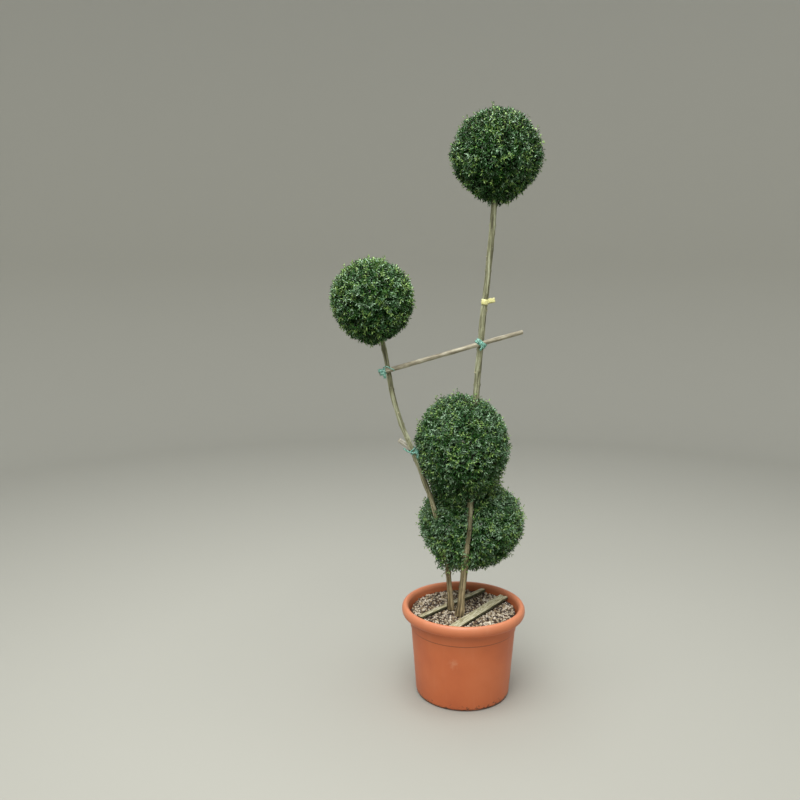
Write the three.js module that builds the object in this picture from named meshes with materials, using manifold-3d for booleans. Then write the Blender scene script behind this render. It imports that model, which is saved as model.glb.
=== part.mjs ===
// Potted privet clipped as a pompom topiary: two bare stems, four clipped pompoms of small leaves,
// two spreader canes tied between the stems, and a round plastic pot filled with pumice mix.
// Millimetres, +Z up. The origin is the centre of the pot's flat underside, +X is to the right
// and +Y away from the front.
import * as THREE from 'three';
import { mergeVertices } from 'three/addons/utils/BufferGeometryUtils.js';
import Module from 'manifold-3d';

const wasm = await Module();
wasm.setup();

// Pot: a moulded container with a fat turned-over rim and a shallow band under it
const gap = 0.35;
const pot = {
  height: 336.5,
  wall: 3.5,
  footRadius: 157,
  footRound: 15,
  bandHeight: 255,
  bandRadius: 191,
  bandStep: 2.5,
  neckHeight: 292,
  neckRadius: 194.5,
  rimRadius: 225,
  rimWidth: 25.2,
  rimDrop: 39.2,
  lipTurn: 120,
  sides: 36,
};

// Potting mix and the two wooden slats wedged across it
const mixLevel = 312;
const slatThickness = 9;
const slats = [
  { name: 'slat_front', offset: 70, angle: 52, width: 36, halfLength: 173, rise: 6 },
  { name: 'slat_back', offset: -51.5, angle: 44.2, width: 20, halfLength: 179, rise: 6 },
];

// Stems: stations of the centre line from the cut at the mix level to the tip
const limbSides = 10;
const mainStem = {
  name: 'stem_main',
  stations: [
    [-17, -58, mixLevel + gap], [-5, -55, 445], [3, -52, 530], [15, -43, 665],
    [37, -2, 1110], [46, -1, 1250], [59.3, 0, 1409], [70, 0, 1512],
    [81, 0, 1650], [87.7, 0, 1749], [90, 0, 1800],
  ],
  footRadius: 12.6,
  tipRadius: 9.9,
  flare: 4,
  flareHeight: 22,
  steps: 20,
};
const leftStem = {
  name: 'stem_left',
  stations: [
    [-45.2, -5, mixLevel + gap], [-53.5, -1, 424], [-63, 1, 510], [-97, 0, 651],
    [-132, -7, 765], [-189, -22, 915], [-233, -30, 1025], [-263, -37, 1140],
    [-279, -41, 1236], [-298, -44, 1320],
  ],
  footRadius: 9.8,
  tipRadius: 8.2,
  flare: 3,
  flareHeight: 18,
  steps: 18,
};

// Pompoms: centre and half sizes of the clipped space that each one keeps to, and how much its
// underside draws in towards the stem
const balls = [
  { name: 'pompom_top', centre: [96, 0, 1922], radii: [163, 163, 164], seed: 1, footTaper: 0.1 },
  { name: 'pompom_left', centre: [-328, -45, 1440], radii: [149, 149, 152], seed: 2, footTaper: 0.05 },
  { name: 'pompom_middle', centre: [-13, 0, 920], radii: [177, 173, 199], seed: 3, footTaper: 0.04 },
  { name: 'pompom_bottom', centre: [32, 80, 613], radii: [202, 178, 176], seed: 4, footTaper: 0.05 },
];

// Growth rule of a pompom: reaches and leaf sizes are parts of the clipped radius
const growth = {
  boughs: 12,
  twigs: 33,
  coreReach: 0.84,
  boughReach: 0.55,
  twigReach: 0.92,
  twigSpread: 0.05,
  twigShown: 0.12,
  boughRise: 0.3,
  boughRadius: 5,
  twigRadius: 2.6,
  twigTaper: 0.6,
  lumps: 0.05,
  lumpWaves: 5,
  leafLength: 0.34,
  leafWidth: 0.175,
  leafThickness: 3,
  leafSpread: 0.2,
  leafClearance: 5,
  layFlatStep: 0.04,
  spaceMargin: 0.01,
  coreDetail: 2,
};
const leafSpine = [0.4, 0.7, 1];
const pairLeaf = { root: 0.8, rise: 0.56, size: 1 };
const endLeaf = { root: 0.79, rise: 0.8, size: 0.85 };

// Canes tied between the stems, each set by the heights at which it crosses them
const longCane = {
  name: 'spreader_cane_long',
  radius: 8,
  side: -1,
  leftHeight: 1204,
  mainHeight: 1292.5,
  leftOverhang: 31,
  rightOverhang: 152,
};
const shortCane = {
  name: 'spreader_cane_short',
  radius: 8.5,
  side: 1,
  leftHeight: 912,
  mainHeight: 756,
  leftOverhang: 60,
  rightOverhang: 18,
};
const caneGap = 0.5;

// Ties and marker tape
const tie = { band: 14, thickness: 1.6, corner: 7 };
const tape = {
  height: 1436,
  band: 20,
  thickness: 1,
  sides: 16,
  flagLength: 22,
  flagHeight: 17,
  flagRise: 10,
};

// Finishes
const finishes = {
  terracottaPlastic: { color: 0xba653e, roughness: 0.5, metalness: 0 },
  pumiceMix: { color: 0x8a7a68, roughness: 0.95, metalness: 0 },
  greyedWood: { color: 0xa6a07c, roughness: 0.85, metalness: 0 },
  bark: { color: 0x9c917a, roughness: 0.85, metalness: 0 },
  caneWood: { color: 0xb39f86, roughness: 0.75, metalness: 0 },
  privetLeaf: { color: 0x35512d, roughness: 0.5, metalness: 0 },
  greenTie: { color: 0x2f9c88, roughness: 0.45, metalness: 0 },
  yellowTape: { color: 0xe6d24a, roughness: 0.5, metalness: 0 },
};

const up = new THREE.Vector3(0, 0, 1);
const depthAxis = new THREE.Vector3(0, 1, 0);
const goldenAngle = Math.PI * (3 - Math.sqrt(5));

// Geometry helpers
function sharedVertices(geometry) {
  const plain = geometry.clone();
  plain.deleteAttribute('normal');
  plain.deleteAttribute('uv');
  return mergeVertices(plain);
}

function toSolid(geometry) {
  const shared = sharedVertices(geometry);
  return new wasm.Manifold(new wasm.Mesh({
    numProp: 3,
    vertProperties: new Float32Array(shared.attributes.position.array),
    triVerts: new Uint32Array(shared.index.array),
  }));
}

function toGeometry(solid) {
  const faces = solid.getMesh();
  const geometry = new THREE.BufferGeometry();
  geometry.setAttribute('position', new THREE.BufferAttribute(faces.vertProperties, 3));
  geometry.setIndex(new THREE.BufferAttribute(faces.triVerts, 1));
  geometry.computeVertexNormals();
  return geometry;
}

// Keeps the one main body, which drops loose scraps and fills sealed hollows
function mainBody(solid) {
  const bodies = solid.decompose();
  return bodies.reduce((best, body) => (body.volume() > best.volume() ? body : best));
}

function addMesh(group, name, geometry, finish) {
  const mesh = new THREE.Mesh(geometry, new THREE.MeshStandardMaterial(finish));
  mesh.name = name;
  group.add(mesh);
  return mesh;
}

// Repeatable chance between 0 and 1 for a numbered twig
function chance(seed, index, draw) {
  const wave = Math.sin(seed * 12.9898 + index * 78.233 + draw * 37.719) * 43758.5453;
  return wave - Math.floor(wave);
}

// Even directions over a sphere by the golden angle
function evenDirection(count, index) {
  const height = 1 - (2 * index + 1) / count;
  const ring = Math.sqrt(1 - height * height);
  const turn = index * goldenAngle;
  return new THREE.Vector3(ring * Math.cos(turn), ring * Math.sin(turn), height);
}

// Pot
function potProfile() {
  const profile = [new THREE.Vector2(0, 0), new THREE.Vector2(pot.footRadius, 0)];
  const foot = new THREE.Path();
  foot.absarc(pot.footRadius, pot.footRound, pot.footRound, -Math.PI / 2, -0.06, false);
  profile.push(...foot.getPoints(2).slice(1));
  profile.push(new THREE.Vector2(pot.bandRadius, pot.bandHeight - pot.bandStep));
  profile.push(new THREE.Vector2(pot.bandRadius + pot.bandStep, pot.bandHeight));
  profile.push(new THREE.Vector2(pot.neckRadius, pot.neckHeight));
  const neckTop = pot.height - pot.rimDrop / 2;
  const rimCentre = pot.rimRadius - pot.rimWidth / 2;
  const lip = THREE.MathUtils.degToRad(pot.lipTurn);
  const innerRim = new THREE.Path();
  innerRim.absellipse(
    rimCentre, neckTop, pot.rimWidth / 2 - pot.wall, pot.rimDrop / 2 - pot.wall, Math.PI, -lip, true,
  );
  const outerRim = new THREE.Path();
  outerRim.absellipse(rimCentre, neckTop, pot.rimWidth / 2, pot.rimDrop / 2, -lip, Math.PI, false);
  profile.push(...innerRim.getPoints(3));
  profile.push(...outerRim.getPoints(6));
  profile.push(new THREE.Vector2(pot.neckRadius - pot.wall, pot.neckHeight));
  profile.push(new THREE.Vector2(pot.bandRadius - pot.wall, pot.bandHeight));
  profile.push(new THREE.Vector2(pot.footRadius + pot.footRound - 1.3 * pot.wall, pot.footRound));
  profile.push(new THREE.Vector2(pot.footRadius, pot.wall));
  profile.push(new THREE.Vector2(0, pot.wall));
  return profile;
}

// Lathe turns about Y, so the turned shape is stood up about X
function turned(profile, sides) {
  return new THREE.LatheGeometry(profile, sides).rotateX(Math.PI / 2);
}

function mixProfile() {
  const side = 1.5 * gap;
  return [
    new THREE.Vector2(0, pot.wall + gap),
    new THREE.Vector2(pot.footRadius - side, pot.wall + gap),
    new THREE.Vector2(pot.footRadius + pot.footRound - 1.3 * pot.wall - side, pot.footRound),
    new THREE.Vector2(pot.bandRadius - pot.wall - side, pot.bandHeight),
    new THREE.Vector2(pot.neckRadius - pot.wall - side, pot.neckHeight),
    new THREE.Vector2(pot.neckRadius - pot.wall - side, mixLevel),
    new THREE.Vector2(0, mixLevel),
  ];
}

// Stems: a cylinder whose rings follow the centre line and keep level, with taper and root flare
function stemPath(stem) {
  return new THREE.CatmullRomCurve3(stem.stations.map((station) => new THREE.Vector3(...station)));
}

function stemRadius(stem, height) {
  const foot = stem.stations[0][2];
  const tip = stem.stations[stem.stations.length - 1][2];
  const share = (height - foot) / (tip - foot);
  const flare = stem.flare * Math.exp(-(height - foot) / stem.flareHeight);
  return THREE.MathUtils.lerp(stem.footRadius, stem.tipRadius, share) + flare;
}

function stemGeometry(stem, grow = 0) {
  const path = stemPath(stem);
  const geometry = sharedVertices(new THREE.CylinderGeometry(1, 1, 1, limbSides, stem.steps));
  const places = geometry.attributes.position;
  for (let index = 0; index < places.count; index += 1) {
    const along = places.getY(index) + 0.5;
    const centre = path.getPoint(THREE.MathUtils.clamp(along, 0, 1));
    const radius = stemRadius(stem, centre.z) + grow;
    const lift = grow * (along < 0.001 ? -1 : Number(along > 0.999));
    const x = centre.x + radius * places.getX(index);
    const y = centre.y - radius * places.getZ(index);
    places.setXYZ(index, x, y, centre.z + lift);
  }
  geometry.computeVertexNormals();
  return geometry;
}

// Centre of a stem at a height, found by halving the stretch of path that holds it
const halvings = 30;

function stemCentre(stem, height) {
  const path = stemPath(stem);
  let low = 0;
  let high = 1;
  for (let halving = 0; halving < halvings; halving += 1) {
    const middle = (low + high) / 2;
    if (path.getPoint(middle).z < height) {
      low = middle;
    } else {
      high = middle;
    }
  }
  return path.getPoint(low);
}

function stemDirection(stem, height) {
  const step = 10;
  return stemCentre(stem, height + step).sub(stemCentre(stem, height - step)).normalize();
}

// Canes: straight from crossing to crossing, in front of the stems or behind them
function caneLine(cane) {
  const beside = (stem, height) => {
    const offset = stemRadius(stem, height) + cane.radius + caneGap;
    return stemCentre(stem, height).addScaledVector(depthAxis, cane.side * offset);
  };
  const left = beside(leftStem, cane.leftHeight);
  const right = beside(mainStem, cane.mainHeight);
  const direction = right.clone().sub(left).normalize();
  return {
    direction,
    start: left.clone().addScaledVector(direction, -cane.leftOverhang),
    end: right.clone().addScaledVector(direction, cane.rightOverhang),
  };
}

function caneGeometry(cane, grow = 0) {
  const { start, end } = caneLine(cane);
  const length = start.distanceTo(end) + 2 * grow;
  return new THREE.CylinderGeometry(cane.radius + grow, cane.radius + grow, length, limbSides);
}

function placeCane(mesh, cane) {
  const { start, end, direction } = caneLine(cane);
  mesh.position.copy(start).add(end).multiplyScalar(0.5);
  mesh.quaternion.setFromUnitVectors(new THREE.Vector3(0, 1, 0), direction);
}

// A tie is tape wound round a stem and the cane that crosses it, along the wider angle between them
function tieFrame(stem, height, cane) {
  const stemAlong = stemDirection(stem, height);
  const caneAlong = caneLine(cane).direction;
  caneAlong.multiplyScalar(Math.sign(stemAlong.dot(caneAlong)));
  const wide = stemAlong.clone().sub(caneAlong).setY(0).normalize();
  const across = new THREE.Vector3().crossVectors(wide, depthAxis).normalize();
  const angle = Math.acos(Math.abs(wide.dot(stemAlong)));
  const radius = stemRadius(stem, height);
  const slant = tie.band / 2 / Math.tan(angle);
  const halfWidth = Math.max(radius, cane.radius) / Math.sin(angle) + slant + tie.thickness;
  const halfDepth = radius + cane.radius + caneGap / 2 + tie.thickness;
  const centre = stemCentre(stem, height);
  centre.addScaledVector(depthAxis, cane.side * (cane.radius + caneGap / 2));
  const basis = new THREE.Matrix4().makeBasis(wide, depthAxis, across);
  return { centre, basis, halfWidth, halfDepth };
}

function roundedRectangle(halfWidth, halfDepth, corner) {
  const shape = new THREE.Shape();
  const quarter = Math.PI / 2;
  shape.absarc(halfWidth - corner, -halfDepth + corner, corner, -quarter, 0, false);
  shape.absarc(halfWidth - corner, halfDepth - corner, corner, 0, quarter, false);
  shape.absarc(-halfWidth + corner, halfDepth - corner, corner, quarter, 2 * quarter, false);
  shape.absarc(-halfWidth + corner, -halfDepth + corner, corner, 2 * quarter, 3 * quarter, false);
  shape.closePath();
  return shape;
}

function tieBlock(frame, grow = 0) {
  const outline = roundedRectangle(frame.halfWidth + grow, frame.halfDepth + grow, tie.corner + grow);
  const depth = tie.band + 2 * grow;
  const block = new THREE.ExtrudeGeometry(outline, { depth, bevelEnabled: false, curveSegments: 2 });
  block.translate(0, 0, -depth / 2).applyMatrix4(frame.basis);
  return toSolid(block.translate(frame.centre.x, frame.centre.y, frame.centre.z));
}

// The tape fills the space round the stem and the cane and is cut clear of both
function tieGeometry(frame, grownLimbs) {
  const wound = toGeometry(mainBody(tieBlock(frame).subtract(grownLimbs)));
  return wound.translate(-frame.centre.x, -frame.centre.y, -frame.centre.z);
}

// Marker tape: a sleeve round the main stem with its two ends stuck together as a flag
function tapeGeometry() {
  const inner = (stemRadius(mainStem, tape.height) + gap) / Math.cos(Math.PI / tape.sides);
  const outer = inner + tape.thickness;
  const half = tape.band / 2;
  const sleeve = turned([
    new THREE.Vector2(inner, -half),
    new THREE.Vector2(outer, -half),
    new THREE.Vector2(outer, half),
    new THREE.Vector2(inner, half),
    new THREE.Vector2(inner, -half),
  ], tape.sides);
  const flag = new THREE.BoxGeometry(tape.flagLength, 2 * tape.thickness, tape.flagHeight);
  flag.rotateY(-THREE.MathUtils.degToRad(tape.flagRise));
  flag.translate(outer + 0.4 * tape.flagLength, -0.2 * outer, 0.25 * tape.band);
  const bore = turned([
    new THREE.Vector2(0, -tape.band),
    new THREE.Vector2(inner, -tape.band),
    new THREE.Vector2(inner, tape.band),
    new THREE.Vector2(0, tape.band),
  ], tape.sides);
  return toGeometry(mainBody(toSolid(sleeve).add(toSolid(flag).subtract(toSolid(bore)))));
}

// Limbs and ties that the foliage keeps clear of, as lines of points with a radius
const runSteps = 60;

function stemRun(stem) {
  const points = stemPath(stem).getPoints(runSteps);
  return points.map((point) => ({ point, radius: stemRadius(stem, point.z) }));
}

function caneRun(cane) {
  const { start, end } = caneLine(cane);
  const points = Array.from({ length: runSteps }, (_, index) => (
    start.clone().lerp(end, index / (runSteps - 1))
  ));
  return points.map((point) => ({ point, radius: cane.radius }));
}

function touchesLimb(points, limbs) {
  return points.some((point) => limbs.some((limb) => (
    point.distanceTo(limb.point) < limb.radius + growth.leafClearance
  )));
}

// How far a pompom reaches along a direction, as a part of its half sizes
function unevenness(ball, direction) {
  const { lumps, lumpWaves } = growth;
  const waves = Math.sin(lumpWaves * direction.x + ball.seed)
    + Math.sin(lumpWaves * direction.y + 2 * ball.seed)
    + Math.sin(lumpWaves * direction.z + 3 * ball.seed);
  const level = Math.sqrt(Math.max(0, 1 - direction.z * direction.z));
  const underside = 2 * Math.max(0, -direction.z) * level;
  return 1 + lumps * waves / 6 - ball.footTaper * underside;
}

function pointAt(ball, direction, reach) {
  const radii = new THREE.Vector3(...ball.radii).multiplyScalar(reach * unevenness(ball, direction));
  return direction.clone().multiply(radii).add(new THREE.Vector3(...ball.centre));
}

// Distance from the centre measured in the pompom's own half sizes: 1 is its clipped surface
function reachOf(ball, point) {
  const inside = point.clone().sub(new THREE.Vector3(...ball.centre));
  inside.divide(new THREE.Vector3(...ball.radii));
  return inside.length() / unevenness(ball, inside.clone().normalize());
}

function inOwnSpace(ball, points) {
  const others = balls.filter((other) => other !== ball);
  return points.every((point) => {
    const own = reachOf(ball, point);
    return own <= 1 && others.every((other) => own < reachOf(other, point) - growth.spaceMargin);
  });
}

function coreSolid(ball) {
  const core = sharedVertices(new THREE.IcosahedronGeometry(1, growth.coreDetail));
  const places = core.attributes.position;
  for (let index = 0; index < places.count; index += 1) {
    const direction = new THREE.Vector3().fromBufferAttribute(places, index).normalize();
    const place = pointAt(ball, direction, growth.coreReach);
    places.setXYZ(index, place.x, place.y, place.z);
  }
  return toSolid(core);
}

// Three-sided twig from one point to another
function twigSolid(from, to, fromRadius, toRadius) {
  const length = from.distanceTo(to);
  const twig = new THREE.CylinderGeometry(toRadius, fromRadius, length, 3);
  const middle = from.clone().lerp(to, 0.5);
  const turn = new THREE.Quaternion().setFromUnitVectors(
    new THREE.Vector3(0, 1, 0), to.clone().sub(from).normalize(),
  );
  return toSolid(twig.applyQuaternion(turn).translate(middle.x, middle.y, middle.z));
}

// A leaf of eight faces: a long flat octahedron with its root at one point
function leafSolid(leaf) {
  const side = new THREE.Vector3().crossVectors(leaf.face, leaf.along).normalize();
  const face = new THREE.Vector3().crossVectors(leaf.along, side).normalize();
  const matrix = new THREE.Matrix4().makeBasis(
    leaf.along.clone().multiplyScalar(leaf.length / 2),
    side.multiplyScalar(leaf.width / 2),
    face.multiplyScalar(growth.leafThickness / 2),
  );
  matrix.setPosition(leaf.root.clone().addScaledVector(leaf.along, leaf.length / 2));
  return toSolid(new THREE.OctahedronGeometry(1).applyMatrix4(matrix));
}

// A leaf that would pass the clipped surface is laid flatter until its tip stays under it
function makeLeaf(ball, direction, kind, sideways, size) {
  const root = pointAt(ball, direction, kind.root);
  const outward = direction.clone().divide(new THREE.Vector3(...ball.radii)).normalize();
  const scale = ball.radii[0] * kind.size * size;
  const length = growth.leafLength * scale;
  let rise = kind.rise;
  let along;
  let tip;
  do {
    along = outward.clone().multiplyScalar(rise);
    along.addScaledVector(sideways, Math.sqrt(1 - rise * rise));
    tip = root.clone().addScaledVector(along, length);
    rise -= growth.layFlatStep;
  } while (reachOf(ball, tip) > 1 && rise > 0);
  const face = outward.clone().addScaledVector(along, -outward.dot(along)).normalize();
  return { root, along, face, length, width: growth.leafWidth * scale };
}

// Twigs spread evenly, each forking from the nearest bough, and each bough from the leader or trunk
function pompomSolid(ball, leader, limbs) {
  const centre = new THREE.Vector3(...ball.centre);
  const boughs = Array.from({ length: growth.boughs }, (_, index) => {
    const direction = evenDirection(growth.boughs, index);
    const end = pointAt(ball, direction, growth.boughReach);
    return { direction, start: leader(centre.z + growth.boughRise * (end.z - centre.z)), end };
  });
  const pieces = [coreSolid(ball)];
  boughs.forEach((bough) => {
    pieces.push(twigSolid(bough.start, bough.end, growth.boughRadius, growth.twigRadius));
  });
  for (let index = 0; index < growth.twigs; index += 1) {
    const direction = evenDirection(growth.twigs, index);
    const bough = boughs.reduce((best, other) => (
      other.direction.dot(direction) > best.direction.dot(direction) ? other : best
    ));
    const reach = growth.twigReach - growth.twigSpread * chance(ball.seed, index, 0);
    const tip = pointAt(ball, direction, reach);
    const outer = pointAt(ball, direction, reach - growth.twigShown);
    if (inOwnSpace(ball, [tip]) && !touchesLimb([outer, tip], limbs)) {
      pieces.push(twigSolid(bough.end, tip, growth.twigRadius, growth.twigRadius * growth.twigTaper));
    }
    const outward = direction.clone().divide(new THREE.Vector3(...ball.radii)).normalize();
    const level = new THREE.Vector3().crossVectors(outward, up).normalize();
    const turn = 2 * Math.PI * chance(ball.seed, index, 1);
    const sideways = level.applyAxisAngle(outward, turn);
    const size = 1 + growth.leafSpread * (chance(ball.seed, index, 2) - 0.5);
    const third = sideways.clone().applyAxisAngle(outward, Math.PI / 2);
    const leaves = [
      makeLeaf(ball, direction, pairLeaf, sideways, size),
      makeLeaf(ball, direction, pairLeaf, sideways.clone().negate(), size),
      makeLeaf(ball, direction, endLeaf, third, size),
    ];
    leaves.forEach((leaf) => {
      const spine = leafSpine.map((share) => (
        leaf.root.clone().addScaledVector(leaf.along, share * leaf.length)
      ));
      if (inOwnSpace(ball, spine) && !touchesLimb(spine, limbs)) {
        pieces.push(leafSolid(leaf));
      }
    });
  }
  return pieces.reduce((whole, piece) => whole.add(piece));
}

// A leader that rises from just above a stem's tip to the middle of its pompom
function tipLeader(stem, ball) {
  const stations = stem.stations;
  const tip = new THREE.Vector3(...stations[stations.length - 1]).addScaledVector(up, gap);
  const centre = new THREE.Vector3(...ball.centre);
  return (height) => {
    const share = (height - tip.z) / (centre.z - tip.z);
    return tip.clone().lerp(centre, THREE.MathUtils.clamp(share, 0.1, 1));
  };
}

// Assembly
const topiary = new THREE.Group();
const container = new THREE.Group();
const plant = new THREE.Group();
const fixings = new THREE.Group();
topiary.add(container, plant, fixings);

addMesh(container, 'pot', turned(potProfile(), pot.sides), finishes.terracottaPlastic);
addMesh(container, 'potting_mix', turned(mixProfile(), pot.sides), finishes.pumiceMix);
// A slat lies on the mix at its left end, and its right end may be a little higher
slats.forEach(({ name, offset, angle, width, halfLength, rise }) => {
  const board = new THREE.BoxGeometry(2 * halfLength, width, slatThickness);
  const turn = THREE.MathUtils.degToRad(angle);
  const tilt = Math.asin(rise / (2 * halfLength));
  const middleHeight = (rise + slatThickness * Math.cos(tilt)) / 2;
  const mesh = addMesh(container, name, board, finishes.greyedWood);
  mesh.rotation.set(0, -tilt, turn, 'ZYX');
  mesh.position.set(offset * Math.sin(turn), -offset * Math.cos(turn), mixLevel + gap + middleHeight);
});

[mainStem, leftStem].forEach((stem) => {
  addMesh(plant, stem.name, stemGeometry(stem), finishes.bark);
});

const ties = [
  { name: 'tie_left', frame: tieFrame(leftStem, longCane.leftHeight, longCane) },
  { name: 'tie_right', frame: tieFrame(mainStem, longCane.mainHeight, longCane) },
  { name: 'tie_short', frame: tieFrame(leftStem, shortCane.leftHeight, shortCane) },
];
[longCane, shortCane].forEach((cane) => {
  placeCane(addMesh(fixings, cane.name, caneGeometry(cane), finishes.caneWood), cane);
});

// Stems and canes grown by the gap, which ties and foliage are cut clear of
function grownCane(cane) {
  const mesh = new THREE.Mesh(caneGeometry(cane, gap));
  placeCane(mesh, cane);
  mesh.updateMatrix();
  return toSolid(mesh.geometry.applyMatrix4(mesh.matrix));
}

const grownLimbs = [
  toSolid(stemGeometry(mainStem, gap)),
  toSolid(stemGeometry(leftStem, gap)),
  grownCane(longCane),
  grownCane(shortCane),
].reduce((whole, piece) => whole.add(piece));

ties.forEach(({ name, frame }) => {
  const mesh = addMesh(fixings, name, tieGeometry(frame, grownLimbs), finishes.greenTie);
  mesh.position.copy(frame.centre);
});
const tapeMesh = addMesh(fixings, 'marker_tape', tapeGeometry(), finishes.yellowTape);
tapeMesh.position.copy(stemCentre(mainStem, tape.height));
tapeMesh.quaternion.setFromUnitVectors(up, stemDirection(mainStem, tape.height));

const clearance = ties.reduce((whole, { frame }) => whole.add(tieBlock(frame, gap)), grownLimbs);
const limbs = [
  ...stemRun(mainStem),
  ...stemRun(leftStem),
  ...caneRun(longCane),
  ...caneRun(shortCane),
  ...ties.map(({ frame }) => ({ point: frame.centre, radius: frame.halfWidth + tie.thickness })),
];
const leaders = {
  pompom_top: tipLeader(mainStem, balls[0]),
  pompom_left: tipLeader(leftStem, balls[1]),
  pompom_middle: (height) => stemCentre(mainStem, height),
  pompom_bottom: (height) => stemCentre(mainStem, height),
};
balls.forEach((ball) => {
  const grown = pompomSolid(ball, leaders[ball.name], limbs);
  const solid = mainBody(grown.subtract(clearance));
  const geometry = toGeometry(solid);
  geometry.translate(-ball.centre[0], -ball.centre[1], -ball.centre[2]);
  const mesh = addMesh(plant, ball.name, geometry, finishes.privetLeaf);
  mesh.position.set(...ball.centre);
});

export default topiary;
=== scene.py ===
# %% [markdown]
# # A pompom topiary in its pot
# The plant is a young privet, trained on two bare stems and clipped into four balls of small leaves.
# Two canes are tied across the stems, and the round plastic pot is filled with pumice and bark.
# The solid parts hold the sizes. The cells below dress them with what the eye looks for: bark,
# leaves, grain, wear and light. Blender works in metres, and most values here are in millimetres.

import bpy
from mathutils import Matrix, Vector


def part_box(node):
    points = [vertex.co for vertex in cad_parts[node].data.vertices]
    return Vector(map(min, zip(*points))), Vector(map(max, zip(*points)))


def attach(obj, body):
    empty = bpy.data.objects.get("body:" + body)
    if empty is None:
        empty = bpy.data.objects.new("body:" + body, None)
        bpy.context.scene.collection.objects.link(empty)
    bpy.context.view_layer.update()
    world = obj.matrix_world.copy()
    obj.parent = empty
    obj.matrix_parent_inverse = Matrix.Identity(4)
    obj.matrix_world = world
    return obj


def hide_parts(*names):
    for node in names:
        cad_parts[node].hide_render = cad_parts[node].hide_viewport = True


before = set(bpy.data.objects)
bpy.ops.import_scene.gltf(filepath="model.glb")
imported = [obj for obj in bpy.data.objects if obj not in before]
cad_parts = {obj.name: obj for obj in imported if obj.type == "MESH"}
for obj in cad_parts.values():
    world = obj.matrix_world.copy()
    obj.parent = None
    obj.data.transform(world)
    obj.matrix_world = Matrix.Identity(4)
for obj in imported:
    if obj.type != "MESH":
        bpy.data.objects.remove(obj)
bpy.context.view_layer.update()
print("solid parts in the frame:", len(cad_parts))

# %% Libraries and the unit
import functools
import math

import bmesh
import bpy
import mathutils
import numpy as np

mm = 0.001
X_AXIS, Y_AXIS, Z_AXIS = np.eye(3)

# %% [markdown]
# ## Camera
# A photograph is matched by its geometry first. Equal pots on one floor gave the height of the eye
# and the tilt, and the width of the pot's rim gave the distance. With those three the render puts
# every ball at the place that it has in the photograph.

# %% Camera values and object
FOCAL_LENGTH = 37.8
SENSOR_WIDTH = 36.0
EYE = (-0.23255, -2.937, 1.553)
TILT_DOWN = 8.9306

camera = bpy.data.objects.new("camera", bpy.data.cameras.new("camera"))
camera.data.lens = FOCAL_LENGTH
camera.data.sensor_width = SENSOR_WIDTH
camera.location = EYE
camera.rotation_euler = (math.radians(90 - TILT_DOWN), 0, 0)
bpy.context.scene.collection.objects.link(camera)
bpy.context.scene.camera = camera
print("camera", EYE[2], "m above the floor, looking", TILT_DOWN, "degrees down")

# %% [markdown]
# ## Colours and shader nodes
# Colours are written as they look on a screen, in sRGB hex, and shaders want linear light, so one
# function turns the first into the second. Another adds a node with its settings and its links.
# That keeps a material readable as a short list of nodes.


# %% One function for colour
def linear(hex_colour):
    """Linear red, green, blue and alpha of a colour such as #b9643e."""
    channels = [int(hex_colour[start:start + 2], 16) / 255 for start in (1, 3, 5)]
    return [c / 12.92 if c <= 0.04045 else ((c + 0.055) / 1.055) ** 2.4 for c in channels] + [1.0]


# %% One function for nodes
def link(node, links):
    """Links a node's inputs. Each link is an output, or a node whose main output is meant."""
    for name, source in links.items():
        if hasattr(source, "outputs"):
            source = next(output for output in source.outputs if output.enabled)
        node.id_data.links.new(source, node.inputs[name])


def add_node(tree, kind, settings=None, links=None):
    """Adds a shader node. A setting is a property of the node, colour stops or an input's value."""
    node = tree.nodes.new("ShaderNode" + kind)
    for name, value in (settings or {}).items():
        if name == "stops":
            ramp = node.color_ramp
            while len(ramp.elements) < len(value):
                ramp.elements.new(0.5)
            for element, (place, colour) in zip(ramp.elements, value):
                element.position = place
                element.color = linear(colour)
        elif isinstance(name, str) and hasattr(node, name):
            setattr(node, name, value)
        else:
            node.inputs[name].default_value = value
    link(node, links or {})
    return node


# %% A new finish
def new_finish(name, sockets):
    """A material with even values on its shader, the function that adds its nodes, and the shader."""
    finish = bpy.data.materials.new(name)
    finish.use_nodes = True
    shader = finish.node_tree.nodes["Principled BSDF"]
    for socket, value in sockets.items():
        shader.inputs[socket].default_value = value
    return finish, functools.partial(add_node, finish.node_tree), shader


def mottled(name, sockets, pattern, stops, bump=None):
    """A finish whose tone follows one noise over the object, and its relief too where it has any."""
    finish, add, shader = new_finish(name, sockets)
    noise = add("TexNoise", pattern, {"Vector": add("TexCoord").outputs["Object"]})
    link(shader, {"Base Color": add("ValToRGB", {"stops": stops}, {"Fac": noise})})
    if bump:
        link(shader, {"Normal": add("Bump", bump, {"Height": noise})})
    return finish


print("white is", linear("#ffffff"))
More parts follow.
